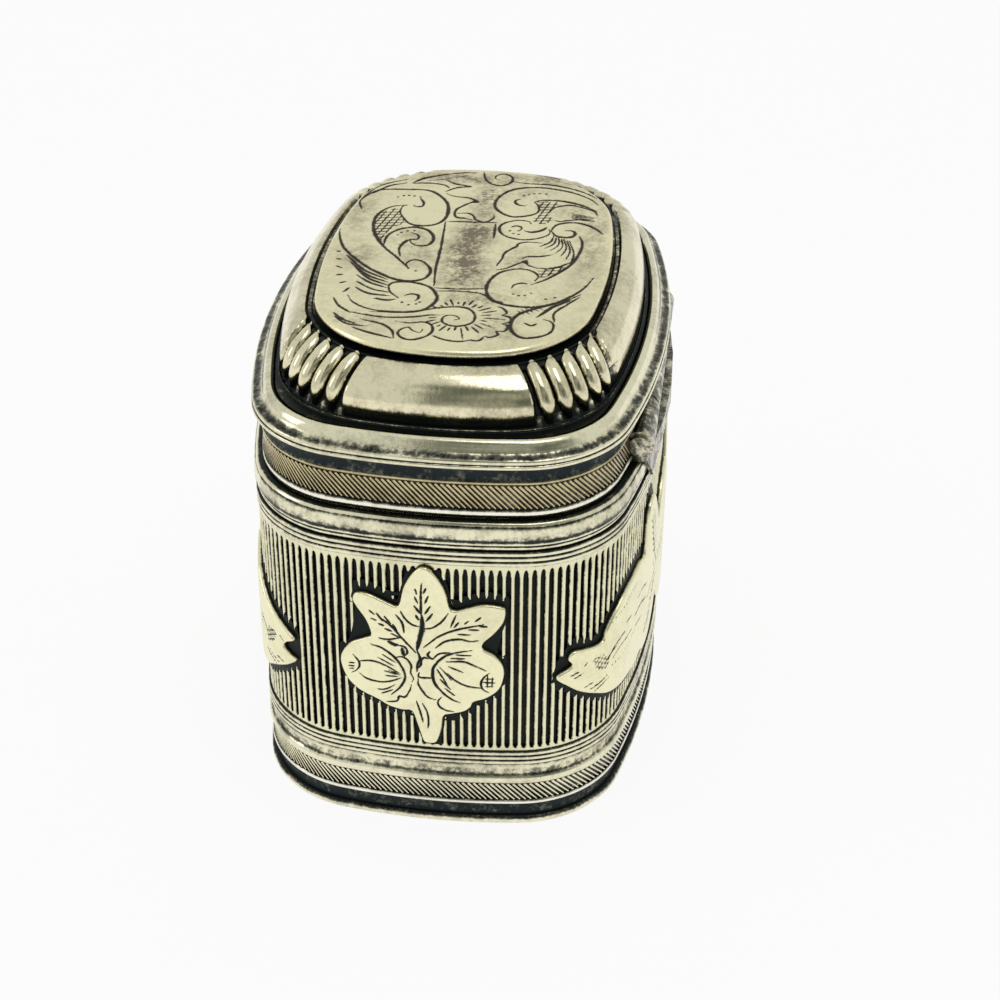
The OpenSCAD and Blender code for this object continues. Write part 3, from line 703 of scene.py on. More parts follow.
def flat_band(name, low, high, face_d, backing, film, finish, notch=False):
    """A straight-walled band for a pattern to lie on."""
    v = turn
    if notch:
        gap = np.interp(NOTCH_HALF, [0, CASE.lengths[1]], [0, 1])
        v = np.concatenate([[gap], turn[(turn > gap) & (turn < 12 - gap)], [12 - gap]])
    at, out = CASE.walk(v)
    section = [(backing, low), (face_d, low), (face_d, high), (backing, high)]
    points = np.concatenate([np.c_[at + d * out, np.full(len(v), z)] for d, z in section])
    faces = grid_faces(4, len(v), True, not notch)
    if notch:
        faces.append([r * len(v) for r in range(4)])
        faces.append([r * len(v) + len(v) - 1 for r in range(4)])
    return mesh_of(name, points, faces, np.full(len(points), film), finish)


# %% One rib
RIB_COUNT = 200
RIB_TOP, RIB_SHOULDER, RIB_FLOOR = 0.10, 0.0, -0.20
RIB_SHARE = 0.55
SLOT_LOW, SLOT_HIGH = 0.20, 0.24
SLOT_END_LOW, SLOT_END_HIGH = 0.26, 0.60

ribs_low, ribs_high = span("ribbed_band")
pitch = CASE.lengths[-1] / RIB_COUNT
slot_half = pitch * (1 - RIB_SHARE) / 2
across = np.array([-1, -1, -0.55, 0, 0.55, 1, 1])
round_out = np.array([RIB_FLOOR, RIB_SHOULDER, 0.085, RIB_TOP, 0.085, RIB_SHOULDER, RIB_FLOOR])
rib_film = np.array([1.0, 0.6, 0.04, 0.0, 0.04, 0.6, 1.0])
plain_film = np.array([1.0, 0.1, 0.0, 0.0, 0.0, 0.1, 1.0])
turn_in = np.linspace(0, pi / 2, 5)
# Each row: height and how far the slot has opened, from 0 to 1
rib_rows = [(ribs_low, 0.0)]
rib_rows += [(ribs_low + SLOT_LOW + SLOT_END_LOW * (1 - cos(a)), sin(a)) for a in turn_in]
rib_rows += [(ribs_high - SLOT_HIGH - SLOT_END_HIGH * (1 - cos(a)), sin(a)) for a in turn_in[::-1]]
rib_rows += [(ribs_high, 0.0)]
rib_points, rib_points_film = [], []
for z, opened in rib_rows:
    out_d = RIB_TOP + opened * (round_out - RIB_TOP)
    out_d[[0, -1]] = RIB_FLOOR
    rib_points.append(np.c_[across * (pitch / 2 - opened * slot_half), -out_d, np.full(7, z)])
    rib_points_film.append(plain_film + opened * (rib_film - plain_film))
rib_faces = grid_faces(len(rib_rows), 7, False, True)
rib_faces.append(list(range(7)))
rib_faces.append(list(range(7 * len(rib_rows) - 7, 7 * len(rib_rows))))
rib_mesh = mesh_of(
    "rib", np.concatenate(rib_points), rib_faces, np.concatenate(rib_points_film), "ribbed_silver"
)
rib_ground = flat_band("rib_ground", ribs_low, ribs_high, RIB_FLOOR + 0.02, STRIP_D, 1.0, "ribbed_silver")
wrapped("ribbed_wall", rib_ground, rib_mesh, RIB_COUNT, 0, -1, "ribbed_silver", "case", "ribbed_band")

# %% Milled strokes
MILLED_COUNT = 290
MILLED_LEAN = 0.45
STROKE_SHARE_TOP, STROKE_SHARE_FOOT = 0.58, 0.28


def ridge(start, end, start_half, end_half, foot_d, crest_d):
    """A long low ridge that narrows between two points of a strip, as points, faces and film."""
    start, end = np.array(start), np.array(end)
    run = (end - start) / np.linalg.norm(end - start)
    side = np.array([-run[1], run[0]])
    slim = 0.7
    base = [start - side * start_half, start + side * start_half, end + side * end_half, end - side * end_half]
    start, end = start + run * start_half, end - run * end_half
    start_half, end_half = start_half * slim, end_half * slim
    top = [start - side * start_half, start + side * start_half, end + side * end_half, end - side * end_half]
    points = [(x, -foot_d, z) for x, z in base] + [(x, -crest_d, z) for x, z in top]
    faces = [[0, 1, 5, 4], [1, 2, 6, 5], [2, 3, 7, 6], [3, 0, 4, 7], [4, 5, 6, 7], [3, 2, 1, 0]]
    return points, faces, [1.0] * 4 + [0.0] * 4


def milled(name, node, ground_d, crest_d, backing, finish, body, hinge_half=-1, notch=False):
    """A band of slanting strokes whose gaps widen toward its lower edge."""
    low, high = span(node)
    slant = MILLED_LEAN * (high - low)
    half = CASE.lengths[-1] / MILLED_COUNT / 2
    stroke = ridge(
        (-slant, high - 0.02), (slant, low + 0.02), half * STROKE_SHARE_TOP, half * STROKE_SHARE_FOOT,
        ground_d - 0.06, crest_d,
    )
    ground = flat_band(name + "_ground", low, high, ground_d, backing, 0.7, finish, notch)
    wrapped(name, ground, mesh_of(name + "_pattern", *stroke, finish), MILLED_COUNT, 0, hinge_half, finish, body, node)


milled("foot_milled_strokes", "foot_milled_band", 0.0, 0.10, STRIP_D, "worn_silver", "case")
milled(
    "lid_milled_strokes", "lid_milled_band", -0.55, -0.47, LID_STRIP_D, "gilt_band", "lid",
    hinge_half=NOTCH_HALF + 0.85, notch=True,
)

# %% [markdown]
# ## The stamped cushion with its gadroons
#
# The dome of the lid is one sheet, stamped over a form: it swells up from a dark floor, rolls over and dips
# into a groove round the plate. On each corner it is gathered into five lobes, the gadroons, parted by deep
# cuts. The dome is a grid whose rows run from the rim up to the plate and whose columns go round. The cuts are made
# by pressing the grid's points in along the surface's own direction, so the lobes stay full all the way round.

# %% Levels of the cushion
LOBES = 5
LOBE_CUT = 0.50
LOBE_LEAN = 0.16
RIM_TOP = span("lid_rim")[1]
PLATE_LOW, PLATE_TOP = span("lid_top_plate")
rise = PLATE_LOW - RIM_TOP
# Each level: share of the way from the plate's outline to the case's, distance outside, height over the rim,
# film, depth of the cuts between the lobes, and how full the lobes are
shell_levels = [
    (1.000, -1.42, -0.12, 0.80, 0.0, 0.0), (0.660, -0.10, -0.12, 0.90, 0.0, 0.0),
    (0.610, -0.02, -0.12, 0.95, 0.0, 0.0), (0.600, -0.02, -0.02, 0.70, 0.0, 0.0),
    (0.585, -0.04, -0.02, 0.75, 0.0, 0.0), (0.575, -0.06, -0.12, 0.95, 0.1, 0.0),
    (0.540, -0.02, -0.08, 1.00, 0.3, 0.0), (0.535, 0.04, 0.30, 0.90, 0.7, 0.25),
    (0.545, 0.06, 0.90, 0.20, 1.0, 0.75), (0.515, 0.05, 1.60, 0.04, 1.0, 1.0),
    (0.430, 0.05, 2.30, 0.00, 1.0, 1.0), (0.300, 0.02, 2.85, 0.00, 1.0, 0.95),
    (0.205, 0.00, 3.10, 0.08, 1.0, 0.8), (0.140, 0.06, 3.16, 0.40, 0.9, 0.6),
    (0.090, 0.14, 3.04, 0.85, 0.7, 0.35), (0.040, 0.26, 2.96, 1.00, 0.4, 0.2),
    (0.020, 0.31, 2.96, 1.00, 0.1, 0.2), (0.000, 0.20, 2.92, 1.00, 0.0, 0.2),
    (0.000, 0.12, 2.88, 1.00, 0.0, 0.2), (0.000, -0.10, 2.86, 1.00, 0.0, 0.2),
]
WIRE_LEVEL, FOOT_LEVEL, TOP_LEVEL = 3.5, 6.3, 14.4
shell_inside = [
    (0.00, -0.90, PLATE_LOW - 0.02, 0.0), (0.00, -0.90, PLATE_LOW - 0.40, 0.0),
    (0.15, -0.40, RIM_TOP + 0.80 * rise, 0.0), (0.40, -0.40, RIM_TOP + 0.50 * rise, 0.0),
    (0.44, -0.40, RIM_TOP - 0.25, 0.1), (1.00, -1.42, RIM_TOP - 0.65, 0.3),
]
# Where the lobes begin and end on each corner, from the long side to the end; the corners differ a little
LOBE_SPANS = [(0.16, 0.84), (0.18, 0.86), (0.22, 0.88), (0.10, 0.79)]

# %% Cushion
LEVEL_STEPS = 5
corner_stations = np.arange(96) / 96
bow_stations = np.arange(10) / 10
cushion_turn = np.concatenate([
    quarter * 3 + arc + (corner_stations if arc == 1 else bow_stations) for quarter in range(4) for arc in range(3)
])


def cushion_row(share, d, z):
    """A ring of points between the plate's outline and the case's, and its outward directions."""
    plan = Outline(*(PLATE.sizes + share * (CASE.sizes - PLATE.sizes)))
    at, out = plan.walk(cushion_turn)
    return np.c_[at + d * out, np.full(len(at), z)], np.c_[out, np.zeros(len(at))]


levels = spline(shell_levels, LEVEL_STEPS)
depth_film, cut_depth, fullness = levels[:, 3], levels[:, 4], levels[:, 5]
rings = [cushion_row(share, d, RIM_TOP + z) for share, d, z in levels[:, :3]]
outside = np.array([ring for ring, _ in rings])
outward = np.array([out for _, out in rings])
reach = levels[:, 0] * (CASE.sizes[1] - PLATE.sizes[1]) + levels[:, 1]
slope = np.stack([np.gradient(levels[:, 2]), -np.gradient(reach)], -1)
slope /= np.linalg.norm(slope, axis=1, keepdims=True)
straight_out = outward * slope[:, 0, None, None] + np.array([0, 0, 1]) * slope[:, 1, None, None]

quarter_of = (cushion_turn // 3).astype(int)
along_corner = cushion_turn % 3 - 1
along_corner = np.where(quarter_of % 2 == 0, along_corner, 1 - along_corner)
first = np.array([LOBE_SPANS[q][0] for q in quarter_of])
last = np.array([LOBE_SPANS[q][1] for q in quarter_of])
height_share = np.clip(levels[:, 2] / rise, 0, 1)[:, None]
leaned = 1 - (1 - along_corner[None]) / (1 + LOBE_LEAN * (1 - height_share))
phase = (leaned - first) / (last - first) * LOBES
from_lobe = np.abs(phase - np.clip(np.floor(phase), 0, LOBES - 1) - 0.5)
beyond_lobes = (phase < 0) | (phase > LOBES)
half_width = 0.16 + 0.31 * np.clip(fullness, 0, 1)[:, None]
lobe = np.sqrt(np.clip(1 - (from_lobe / half_width) ** 2, 0, 1))
plain_part = np.clip((np.maximum(-phase, phase - LOBES) - 0.12) / 0.16, 0, 1)
lobe = np.where(beyond_lobes, plain_part ** 0.5, lobe)
lobe = np.where((along_corner < -0.001) | (along_corner > 1.001), 1.0, lobe)
cut = (1 - lobe) * np.clip(cut_depth, 0, 1)[:, None]

row = np.arange(len(levels))[:, None] / LEVEL_STEPS
knob = np.exp(-(((row - TOP_LEVEL) / 0.6) ** 2)) * np.exp(-((from_lobe / 0.24) ** 2))
knob = np.where(beyond_lobes, 0, knob)
beside_lobe = np.minimum(np.abs(phase % 1), np.abs(phase % 1 - 1))
foot_knob = np.exp(-(((row - FOOT_LEVEL) / 0.6) ** 2)) * np.exp(-((beside_lobe / 0.16) ** 2))
foot_knob = np.where((phase < -0.2) | (phase > LOBES + 0.2), 0, foot_knob)
raised = 0.16 * knob + 0.22 * foot_knob
outside = outside + straight_out * (-LOBE_CUT * cut)[..., None] + np.array([0.0, 0, 1]) * raised[..., None]
lobe_dark = np.clip(cut * 2.8 - 1.2, 0, 1)
outside_film = np.maximum(depth_film[:, None], lobe_dark)
# The wire on the floor is rubbed along the ends, and the groove round the plate is greyer along the sides
faces_end = np.clip((np.abs(outward[0, :, 1]) - 0.86) / 0.1, 0, 1)
faces_side = np.clip((np.abs(outward[0, :, 0]) - 0.86) / 0.1, 0, 1)
outside_film = outside_film - 0.55 * np.exp(-(((row - WIRE_LEVEL) / 0.6) ** 2)) * faces_end
outside_film = outside_film * (1 - 0.55 * faces_side * (row > TOP_LEVEL - 2))
on_corner = (1 - faces_end) * (1 - faces_side)
outside_film = outside_film - 0.5 * on_corner * (lobe_dark < 0.5) * np.exp(-(((row - TOP_LEVEL + 0.8) / 0.7) ** 2))
outside_film = np.clip(outside_film - 0.8 * knob - 0.7 * foot_knob, 0, 1)
inside = np.array([cushion_row(share, d, z)[0] for share, d, z, _ in shell_inside])
inside_film = np.repeat([film for *_, film in shell_inside], len(cushion_turn))
cushion_mesh = mesh_of(
    "gadrooned_cushion", np.concatenate([outside.reshape(-1, 3), inside.reshape(-1, 3)]),
    grid_faces(len(outside) + len(inside), len(cushion_turn), True, True),
    np.concatenate([outside_film.ravel(), inside_film]), "cushion_silver",
)
piece("gadrooned_cushion", cushion_mesh, "lid", "cushion_silver", "lid_cushion")

# %% [markdown]
# ## Engraving
#
# An engraver pushes a sharp tool through the metal. It leaves a groove that is deepest in the middle of a
# stroke and runs out at both ends. Here a fine grid of heights stands for the sheet, and each stroke is a
# smooth curve through a few points that lowers the grid near it. The same distance field says where black film
# stays. That keeps the cuts real in the mesh, so they show from every side.

# %% The engraver's grid
class Engraving:
    """A grid over a sheet that holds how near each point is to a cut, in cut widths."""

    def __init__(self, low, high, step):
        self.step = step
        self.x = np.arange(low[0], high[0] + step, step)
        self.y = np.arange(low[1], high[1] + step, step)
        self.near = np.full((len(self.x), len(self.y)), 9.0)

    def cut(self, points, width=0.1, taper=True):
        """A groove along a smooth curve. The width is from its middle to its edge."""
        path = spline(points, 14)
        long_way = np.concatenate([[0], np.cumsum(np.linalg.norm(np.diff(path, axis=0), axis=1))])
        count = max(3, int(long_way[-1] / self.step * 2))
        s = np.linspace(0, long_way[-1], count)
        x = np.interp(s, long_way, path[:, 0])
        y = np.interp(s, long_way, path[:, 1])
        share = s / long_way[-1]
        swelling = np.sin(pi * np.clip(share, 0.02, 0.98)) ** 0.4 if taper else np.ones(count)
        self.stamp(x, y, np.maximum(width * swelling, width * 0.3))

    def dot(self, x, y, width=0.12):
        self.stamp(np.array([x]), np.array([y]), np.array([width]))

    def stamp(self, x, y, width):
        reach = ceil(2 * width.max() / self.step) + 1
        ix = np.round((x - self.x[0]) / self.step).astype(int)
        iy = np.round((y - self.y[0]) / self.step).astype(int)
        for dx in range(-reach, reach + 1):
            for dy in range(-reach, reach + 1):
                gx, gy = ix + dx, iy + dy
                ok = (gx >= 0) & (gx < len(self.x)) & (gy >= 0) & (gy < len(self.y))
                gx, gy = gx[ok], gy[ok]
                far = np.hypot(self.x[gx] - x[ok], self.y[gy] - y[ok]) / width[ok]
                np.minimum.at(self.near, (gx, gy), far)

    def hatch(self, area, angle, spacing, width=0.05):
        """Parallel cuts across an area given by its corners."""
        area = np.asarray(area, float)
        run = np.array([cos(radians(angle)), sin(radians(angle))])
        side = np.array([-run[1], run[0]])
        level = np.arange((area @ side).min() + spacing / 2, (area @ side).max(), spacing)
        after = np.roll(area, -1, 0)
        for offset in level:
            a, b = area @ side - offset, after @ side - offset
            crossing = (a * b) < 0
            hits = area[crossing] + (after - area)[crossing] * (a / (a - b))[crossing][:, None]
            hits = sorted(hits.tolist(), key=lambda p: np.dot(p, run))
            for start, end in zip(hits[::2], hits[1::2]):
                self.cut([start, end], width, taper=False)


def open_edges(quads):
    """The edges that only one quad has."""
    sides = np.sort(np.concatenate([quads[:, [i, (i + 1) % 4]] for i in range(4)]), 1)
    pairs, counts = np.unique(sides, axis=0, return_counts=True)
    return pairs[counts == 1]


def without_pinches(quads):
    """The quads without those round a point where the sheet would only touch itself."""
    while True:
        points, counts = np.unique(open_edges(quads), return_counts=True)
        pinched = points[counts > 2]
        if not len(pinched):
            return quads
        quads = quads[~np.isin(quads, pinched).any(1)]


def in_order(edges):
    """The points of one closed loop of edges, one after the other."""
    beside = {}
    for a, b in edges.tolist():
        beside.setdefault(a, []).append(b)
        beside.setdefault(b, []).append(a)
    first = edges[0, 0].item()
    loop = [first, beside[first][0]]
    while len(loop) < len(beside):
        a, b = beside[loop[-1]]
        loop.append(b if a == loop[-2] else a)
    return loop


def relief(name, drawing, contour, inset, height, edge, place, finish, tarnish=None, flat_back=True, cut_depth=0.07):
    """An engraved sheet. Its top is the grid, drawn in to a smooth contour, and its edge is rolled down."""
    gx, gy = np.meshgrid(drawing.x, drawing.y, indexing="ij")
    flat = np.stack([gx.ravel(), gy.ravel()], -1)
    distance, out = contour(flat)
    beyond = distance + inset
    moved = np.where((beyond > 0)[:, None], flat - out * beyond[:, None], flat)
    quads = np.array(grid_faces(len(drawing.x), len(drawing.y), False, False))
    quads = without_pinches(quads[(beyond[quads] < 0).any(1)])
    used, numbered = np.unique(quads, return_inverse=True)
    quads = numbered.reshape(-1, 4)
    flat, out, depth = moved[used], out[used], -distance[used]
    near = drawing.near.ravel()[used]
    groove = np.clip(1 - near, 0, 1)
    top = height(flat, depth) - cut_depth * groove ** 0.8 * np.clip((depth - inset) / 0.15, 0, 1)
    points = [place(flat, top)]
    films = [np.clip(1.2 - near, 0, 1) ** 0.9]
    faces = quads.tolist()
    rim, ends = np.unique(open_edges(quads), return_inverse=True)
    ends = ends.reshape(-1, 2)
    ring, total = rim, len(flat)

    def join(upper, lower):
        """Quads between two rings along the edge."""
        return np.stack([upper[ends[:, 0]], upper[ends[:, 1]], lower[ends[:, 1]], lower[ends[:, 0]]], -1).tolist()

    for off, h, dark in edge:
        points.append(place(flat[rim] + out[rim] * off, np.full(len(rim), h)))
        films.append(np.full(len(rim), dark))
        lower = np.arange(total, total + len(rim))
        faces += join(ring, lower)
        ring, total = lower, total + len(rim)
    if flat_back:
        faces.append(ring[in_order(ends)].tolist())
    else:
        # The back is the same grid, joined to the last ring, so that it follows a bent wall
        points.append(place(flat, np.full(len(flat), edge[-1][1])))
        films.append(np.ones(len(flat)))
        faces += (quads + total).tolist() + join(ring, rim + total)
    points = np.concatenate(points)
    spots = np.zeros(len(points))
    if tarnish:
        spots[:len(flat)] = tarnish(flat)
    return mesh_of(name, points, faces, np.concatenate(films), finish, spots)


# %% [markdown]
# ## The engraved plate
#
# The plate on top carries leafy scrolls of a kind that silversmiths cut on countless boxes: two large
# C-shaped scrolls with crossed hatching, a fan of flame-like strokes, a shell at the foot, and a plain oblong
# left bare for an owner's mark. It is drawn on squared paper whose unit is 0.914 mm, with the front
# of the box at negative y.

# %% Draw the plate
UNIT = 0.9138
BOLD, FINE, HAIR = 0.142, 0.112, 0.078
plate_drawing = Engraving(-np.array(PLATE.sizes[:2]) - 0.1, np.array(PLATE.sizes[:2]) + 0.1, 0.075)


def scrolls(width, *strokes):
    """Cuts drawn in units of the squared paper."""
    for stroke in strokes:
        plate_drawing.cut(np.array(stroke, float) * UNIT, width)


scrolls(BOLD,
    [(-9.4, 7.4), (-8.7, 9.0), (-7.9, 9.7), (-6.0, 9.95), (-4.5, 9.95), (-3.4, 9.0), (-2.7, 7.75), (-2.45, 6.25),
     (-2.6, 4.9), (-3.25, 4.05), (-4.25, 3.8), (-5.0, 4.1), (-5.6, 5.0), (-6.0, 6.0), (-5.95, 6.9), (-5.7, 7.15)],
    [(-5.7, 7.1), (-6.7, 6.8), (-7.3, 6.0), (-7.6, 5.0), (-7.6, 3.8), (-7.3, 2.4), (-6.8, 1.2), (-6.1, 0.0),
     (-5.1, -1.3), (-4.3, -2.4), (-3.8, -3.1)],
    [(-3.8, -3.2), (-4.1, -2.4), (-3.7, -1.75), (-3.0, -1.9), (-2.4, -2.7), (-2.2, -3.6), (-2.5, -4.5), (-3.3, -5.0),
     (-4.4, -4.9), (-5.6, -4.2), (-6.9, -3.1), (-8.1, -1.7), (-9.0, -0.4), (-9.6, 1.2), (-9.9, 2.6)],
    [(-6.2, 0.2), (-6.25, 1.5), (-6.0, 2.4), (-5.4, 3.1), (-4.5, 3.5), (-3.6, 3.25), (-3.0, 2.5), (-2.8, 1.5),
     (-3.1, 0.7), (-3.75, 0.55), (-4.3, 0.95), (-4.5, 1.5)],
    [(-3.75, -7.6), (-4.4, -6.9), (-4.7, -6.1), (-4.6, -5.5), (-4.0, -5.2), (-3.0, -5.2), (-2.0, -5.6), (-1.4, -6.4),
     (-1.1, -7.4), (-1.4, -8.5), (-2.1, -9.3), (-3.2, -9.6), (-4.5, -9.6), (-5.8, -9.25), (-6.8, -8.5), (-7.3, -7.6)],
    [(8.5, 9.25), (7.75, 10.25), (6.5, 11.1), (5.25, 11.5), (4.0, 11.7), (2.75, 11.5), (1.75, 10.9), (1.1, 9.9),
     (0.8, 8.75), (0.9, 7.75), (1.4, 6.9), (2.25, 6.3), (3.1, 6.4), (3.9, 6.9), (4.2, 7.6), (4.0, 8.5), (3.7, 9.0)],
    [(3.7, 9.0), (4.25, 9.4), (5.5, 9.55), (6.75, 9.25), (7.75, 8.75), (8.5, 8.1)],
    [(5.5, 4.25), (5.6, 5.0), (6.0, 5.6), (7.0, 6.0), (8.0, 5.7), (8.75, 5.1), (9.25, 4.4)],
    [(5.5, 4.25), (5.9, 3.6), (6.5, 3.4), (7.1, 3.6), (7.25, 4.25), (6.95, 4.6), (6.5, 4.5)],
    [(7.6, 3.75), (7.9, 2.9), (7.95, 1.75), (7.75, 0.25), (7.4, -1.0), (6.75, -2.25), (5.9, -3.5), (5.1, -4.3)],
    [(5.25, -3.75), (5.4, -3.1), (5.1, -2.5), (4.5, -2.1), (3.75, -2.1), (3.0, -2.5), (2.4, -3.25), (2.05, -4.5),
     (2.1, -5.75), (2.6, -6.9), (3.5, -7.5), (4.6, -7.7), (5.75, -7.55), (7.0, -6.75), (8.0, -5.6), (8.75, -4.25),
     (9.25, -2.6)],
    [(8.6, -5.25), (7.75, -6.25), (6.5, -7.25), (5.5, -8.0), (4.75, -8.75), (4.4, -9.75), (4.5, -11.0), (5.25, -11.9),
     (6.25, -11.75), (7.1, -11.0), (7.25, -10.0), (6.95, -9.4), (6.5, -9.25)],
)
scrolls(FINE,
    [(-4.9, 8.5), (-4.5, 7.7), (-4.55, 7.05), (-5.0, 7.0), (-5.2, 7.2)],
    [(-4.6, 2.6), (-4.0, 2.2), (-3.95, 1.6), (-4.5, 1.4), (-4.9, 0.9), (-5.0, -0.2), (-4.7, -1.4)],
    [(-8.6, -1.5), (-6.9, -3.7), (-5.0, -5.0)], [(-8.1, -2.6), (-6.6, -4.4), (-4.9, -5.4)],
    [(-7.6, -3.4), (-6.3, -5.0), (-4.7, -5.9)], [(-7.3, -4.5), (-6.1, -5.6), (-4.6, -6.3)],
    [(-7.1, -5.5), (-5.8, -6.5), (-4.5, -6.9)], [(-7.0, -6.4), (-5.9, -7.2), (-4.3, -7.4)],
    [(-1.2, -6.2), (0.2, -6.0), (1.6, -6.1), (2.2, -6.5)], [(2.2, -6.5), (2.8, -7.2), (3.3, -7.2), (3.5, -7.6)],
    [(3.2, -7.9), (3.6, -8.1), (3.9, -8.7), (3.7, -9.0)], [(3.6, -9.1), (4.2, -9.3), (4.3, -9.9), (3.8, -10.2)],
    [(3.7, -10.2), (4.2, -10.5), (4.1, -11.2), (3.6, -11.3)], [(3.5, -11.3), (3.7, -11.8), (3.2, -12.2), (2.8, -12.0)],
    [(2.8, -12.1), (2.6, -12.7), (2.0, -12.8)], [(2.1, -12.7), (1.2, -13.05), (0.2, -12.9), (-0.6, -12.5)],
    [(-3.4, -7.2), (-3.0, -6.9), (-2.5, -7.0), (-2.4, -7.5), (-2.6, -7.9)],
    [(-5.75, -9.7), (-3.75, -9.7), (-2.0, -9.2), (-0.75, -8.6), (0.5, -8.3), (1.4, -8.6), (1.85, -9.5), (1.75, -10.4),
     (1.1, -10.95), (0.4, -11.0), (-0.2, -10.6), (-0.3, -10.0), (0.0, -9.6), (0.5, -9.6), (0.85, -10.0), (0.5, -10.2)],
    [(-7.0, -9.9), (-4.5, -10.4), (-2.5, -10.2), (-1.2, -9.75), (-0.3, -9.6)],
    [(-8.2, -8.1), (-7.6, -9.2), (-6.6, -10.1)], [(-7.8, -10.2), (-7.0, -11.0), (-5.9, -11.6)],
    [(-7.6, -10.7), (-6.6, -11.6), (-5.2, -11.8)], [(-5.75, -10.9), (-4.2, -11.4), (-3.4, -12.2), (-3.1, -13.2)],
    [(-6.2, -12.0), (-5.0, -12.6), (-3.2, -13.2)],
    [(-3.4, -10.9), (-2.4, -11.0), (-1.5, -10.75), (-0.9, -11.1), (-0.7, -11.9), (-1.0, -12.6), (-1.75, -13.2),
     (-2.5, -13.1), (-2.95, -12.5), (-2.8, -11.9), (-2.4, -11.6), (-2.0, -12.0), (-1.5, -12.2), (-1.4, -11.75)],
    [(-2.4, 4.75), (-2.25, 2.9), (-2.1, 1.0), (-2.0, -1.0), (-1.9, -3.0), (-1.6, -5.6)],
    [(-2.4, 4.8), (-0.5, 4.95), (1.4, 5.1)], [(1.3, 4.9), (1.4, 3.7), (1.5, 2.5)],
    [(-1.6, -5.75), (0.0, -5.7), (2.0, -5.4)],
    [(-3.1, 9.6), (-2.6, 9.25), (-2.0, 9.1), (-1.2, 9.0), (-0.5, 8.4), (-1.0, 8.25), (-1.5, 7.6), (-1.9, 6.9),
     (-1.9, 6.0), (-1.6, 5.5), (-1.0, 5.5), (-0.4, 5.25)],
    [(-1.75, 6.25), (-1.0, 6.4), (-0.5, 6.0), (-0.25, 5.4), (0.5, 5.1), (1.0, 5.75), (1.0, 6.4)],
    [(-3.2, 9.9), (-2.6, 10.6), (-2.0, 10.9), (-1.4, 11.0)], [(-5.9, 11.1), (-5.4, 12.0), (-4.5, 12.6), (-3.5, 13.2)],
    [(-5.9, 11.1), (-4.5, 11.3), (-3.5, 11.1), (-3.0, 10.6)], [(-3.5, 12.1), (-2.6, 11.4), (-1.6, 11.2)],
    [(-0.8, 13.9), (-0.5, 12.6), (0.1, 11.8), (0.9, 11.6), (1.5, 12.3), (1.5, 13.2), (0.9, 13.8), (0.3, 13.5),
     (0.2, 12.9), (0.6, 12.6)],
    [(1.6, 12.5), (2.7, 12.3), (4.5, 12.3), (6.1, 11.9), (7.4, 11.2), (8.3, 10.4)],
    [(-5.9, 11.2), (-5.0, 12.2), (-3.6, 13.1), (-2.2, 13.6), (-1.2, 13.7)],
    [(2.6, 9.4), (2.25, 9.0), (2.4, 8.5), (2.9, 8.25), (3.2, 8.4)],
    [(5.0, 7.3), (5.2, 8.1), (5.7, 8.6), (6.5, 8.9), (7.5, 8.6), (8.3, 8.1), (8.6, 7.4)],
    [(5.4, 6.2), (5.9, 6.0), (6.6, 6.3), (7.6, 6.6), (8.5, 6.4)],
    [(3.9, 5.2), (3.7, 5.6), (3.0, 5.75), (2.25, 5.4), (1.75, 4.75), (1.7, 4.0), (2.0, 3.3), (2.75, 2.75), (3.75, 2.6),
     (4.75, 3.0), (5.4, 3.75), (5.3, 4.6)],
    [(2.5, 4.5), (2.9, 4.8), (3.3, 4.5), (3.2, 4.0)],
    [(5.25, -1.75), (6.0, -1.75), (6.75, -1.25), (7.4, -0.5)],
    [(5.0, 2.25), (4.0, 2.25), (3.4, 1.9), (3.3, 1.4), (3.0, 1.0), (2.6, 0.25), (2.5, -0.75), (2.25, -1.9)],
    [(2.25, -2.5), (3.0, -2.1), (3.75, -1.25), (4.25, -0.75), (4.3, -0.9), (4.5, -1.4), (5.2, -1.8)],
    [(3.9, -0.5), (4.25, -0.1), (5.25, 0.1), (6.0, 0.5)], [(3.75, -5.1), (3.9, -4.5), (4.4, -4.2), (4.8, -4.3)],
    [(5.25, -9.9), (5.75, -10.2), (6.1, -9.9)], [(7.25, -9.5), (7.1, -8.25), (7.75, -7.0), (8.6, -5.6)],
    [(-8.9, 6.0), (-9.3, 7.6), (-8.6, 9.9), (-7.6, 11.0), (-6.5, 11.7)], [(-8.6, 8.9), (-7.6, 10.4), (-6.4, 11.1)],
)
# Bold wedges: the fan at the left, and the darkest turns of the scrolls
scrolls(0.16,
    [(3.5, 4.1), (4.1, 3.9), (4.75, 4.25), (5.1, 4.8)], [(6.0, -9.0), (6.5, -8.1), (7.0, -7.25), (8.0, -6.25)],
    [(-4.6, 1.2), (-4.9, 0.7), (-5.0, 0.1)], [(-5.4, -7.85), (-4.5, -8.0), (-3.9, -7.75)],
    [(-1.9, 11.2), (-1.4, 11.05)], [(-0.9, 8.5), (-0.5, 8.4)], [(-1.7, 5.6), (-1.0, 5.5)], [(4.1, -0.85), (4.4, -1.2)],
)
scrolls(0.10,
    [(-9.4, -1.0), (-9.1, -1.1)], [(-9.2, -2.2), (-8.8, -2.3)], [(-9.0, -3.3), (-8.5, -3.6)],
    [(-8.7, -4.7), (-8.2, -4.6)], [(-8.2, -5.9), (-7.8, -5.6)], [(-7.7, -7.2), (-7.4, -6.5)],
)
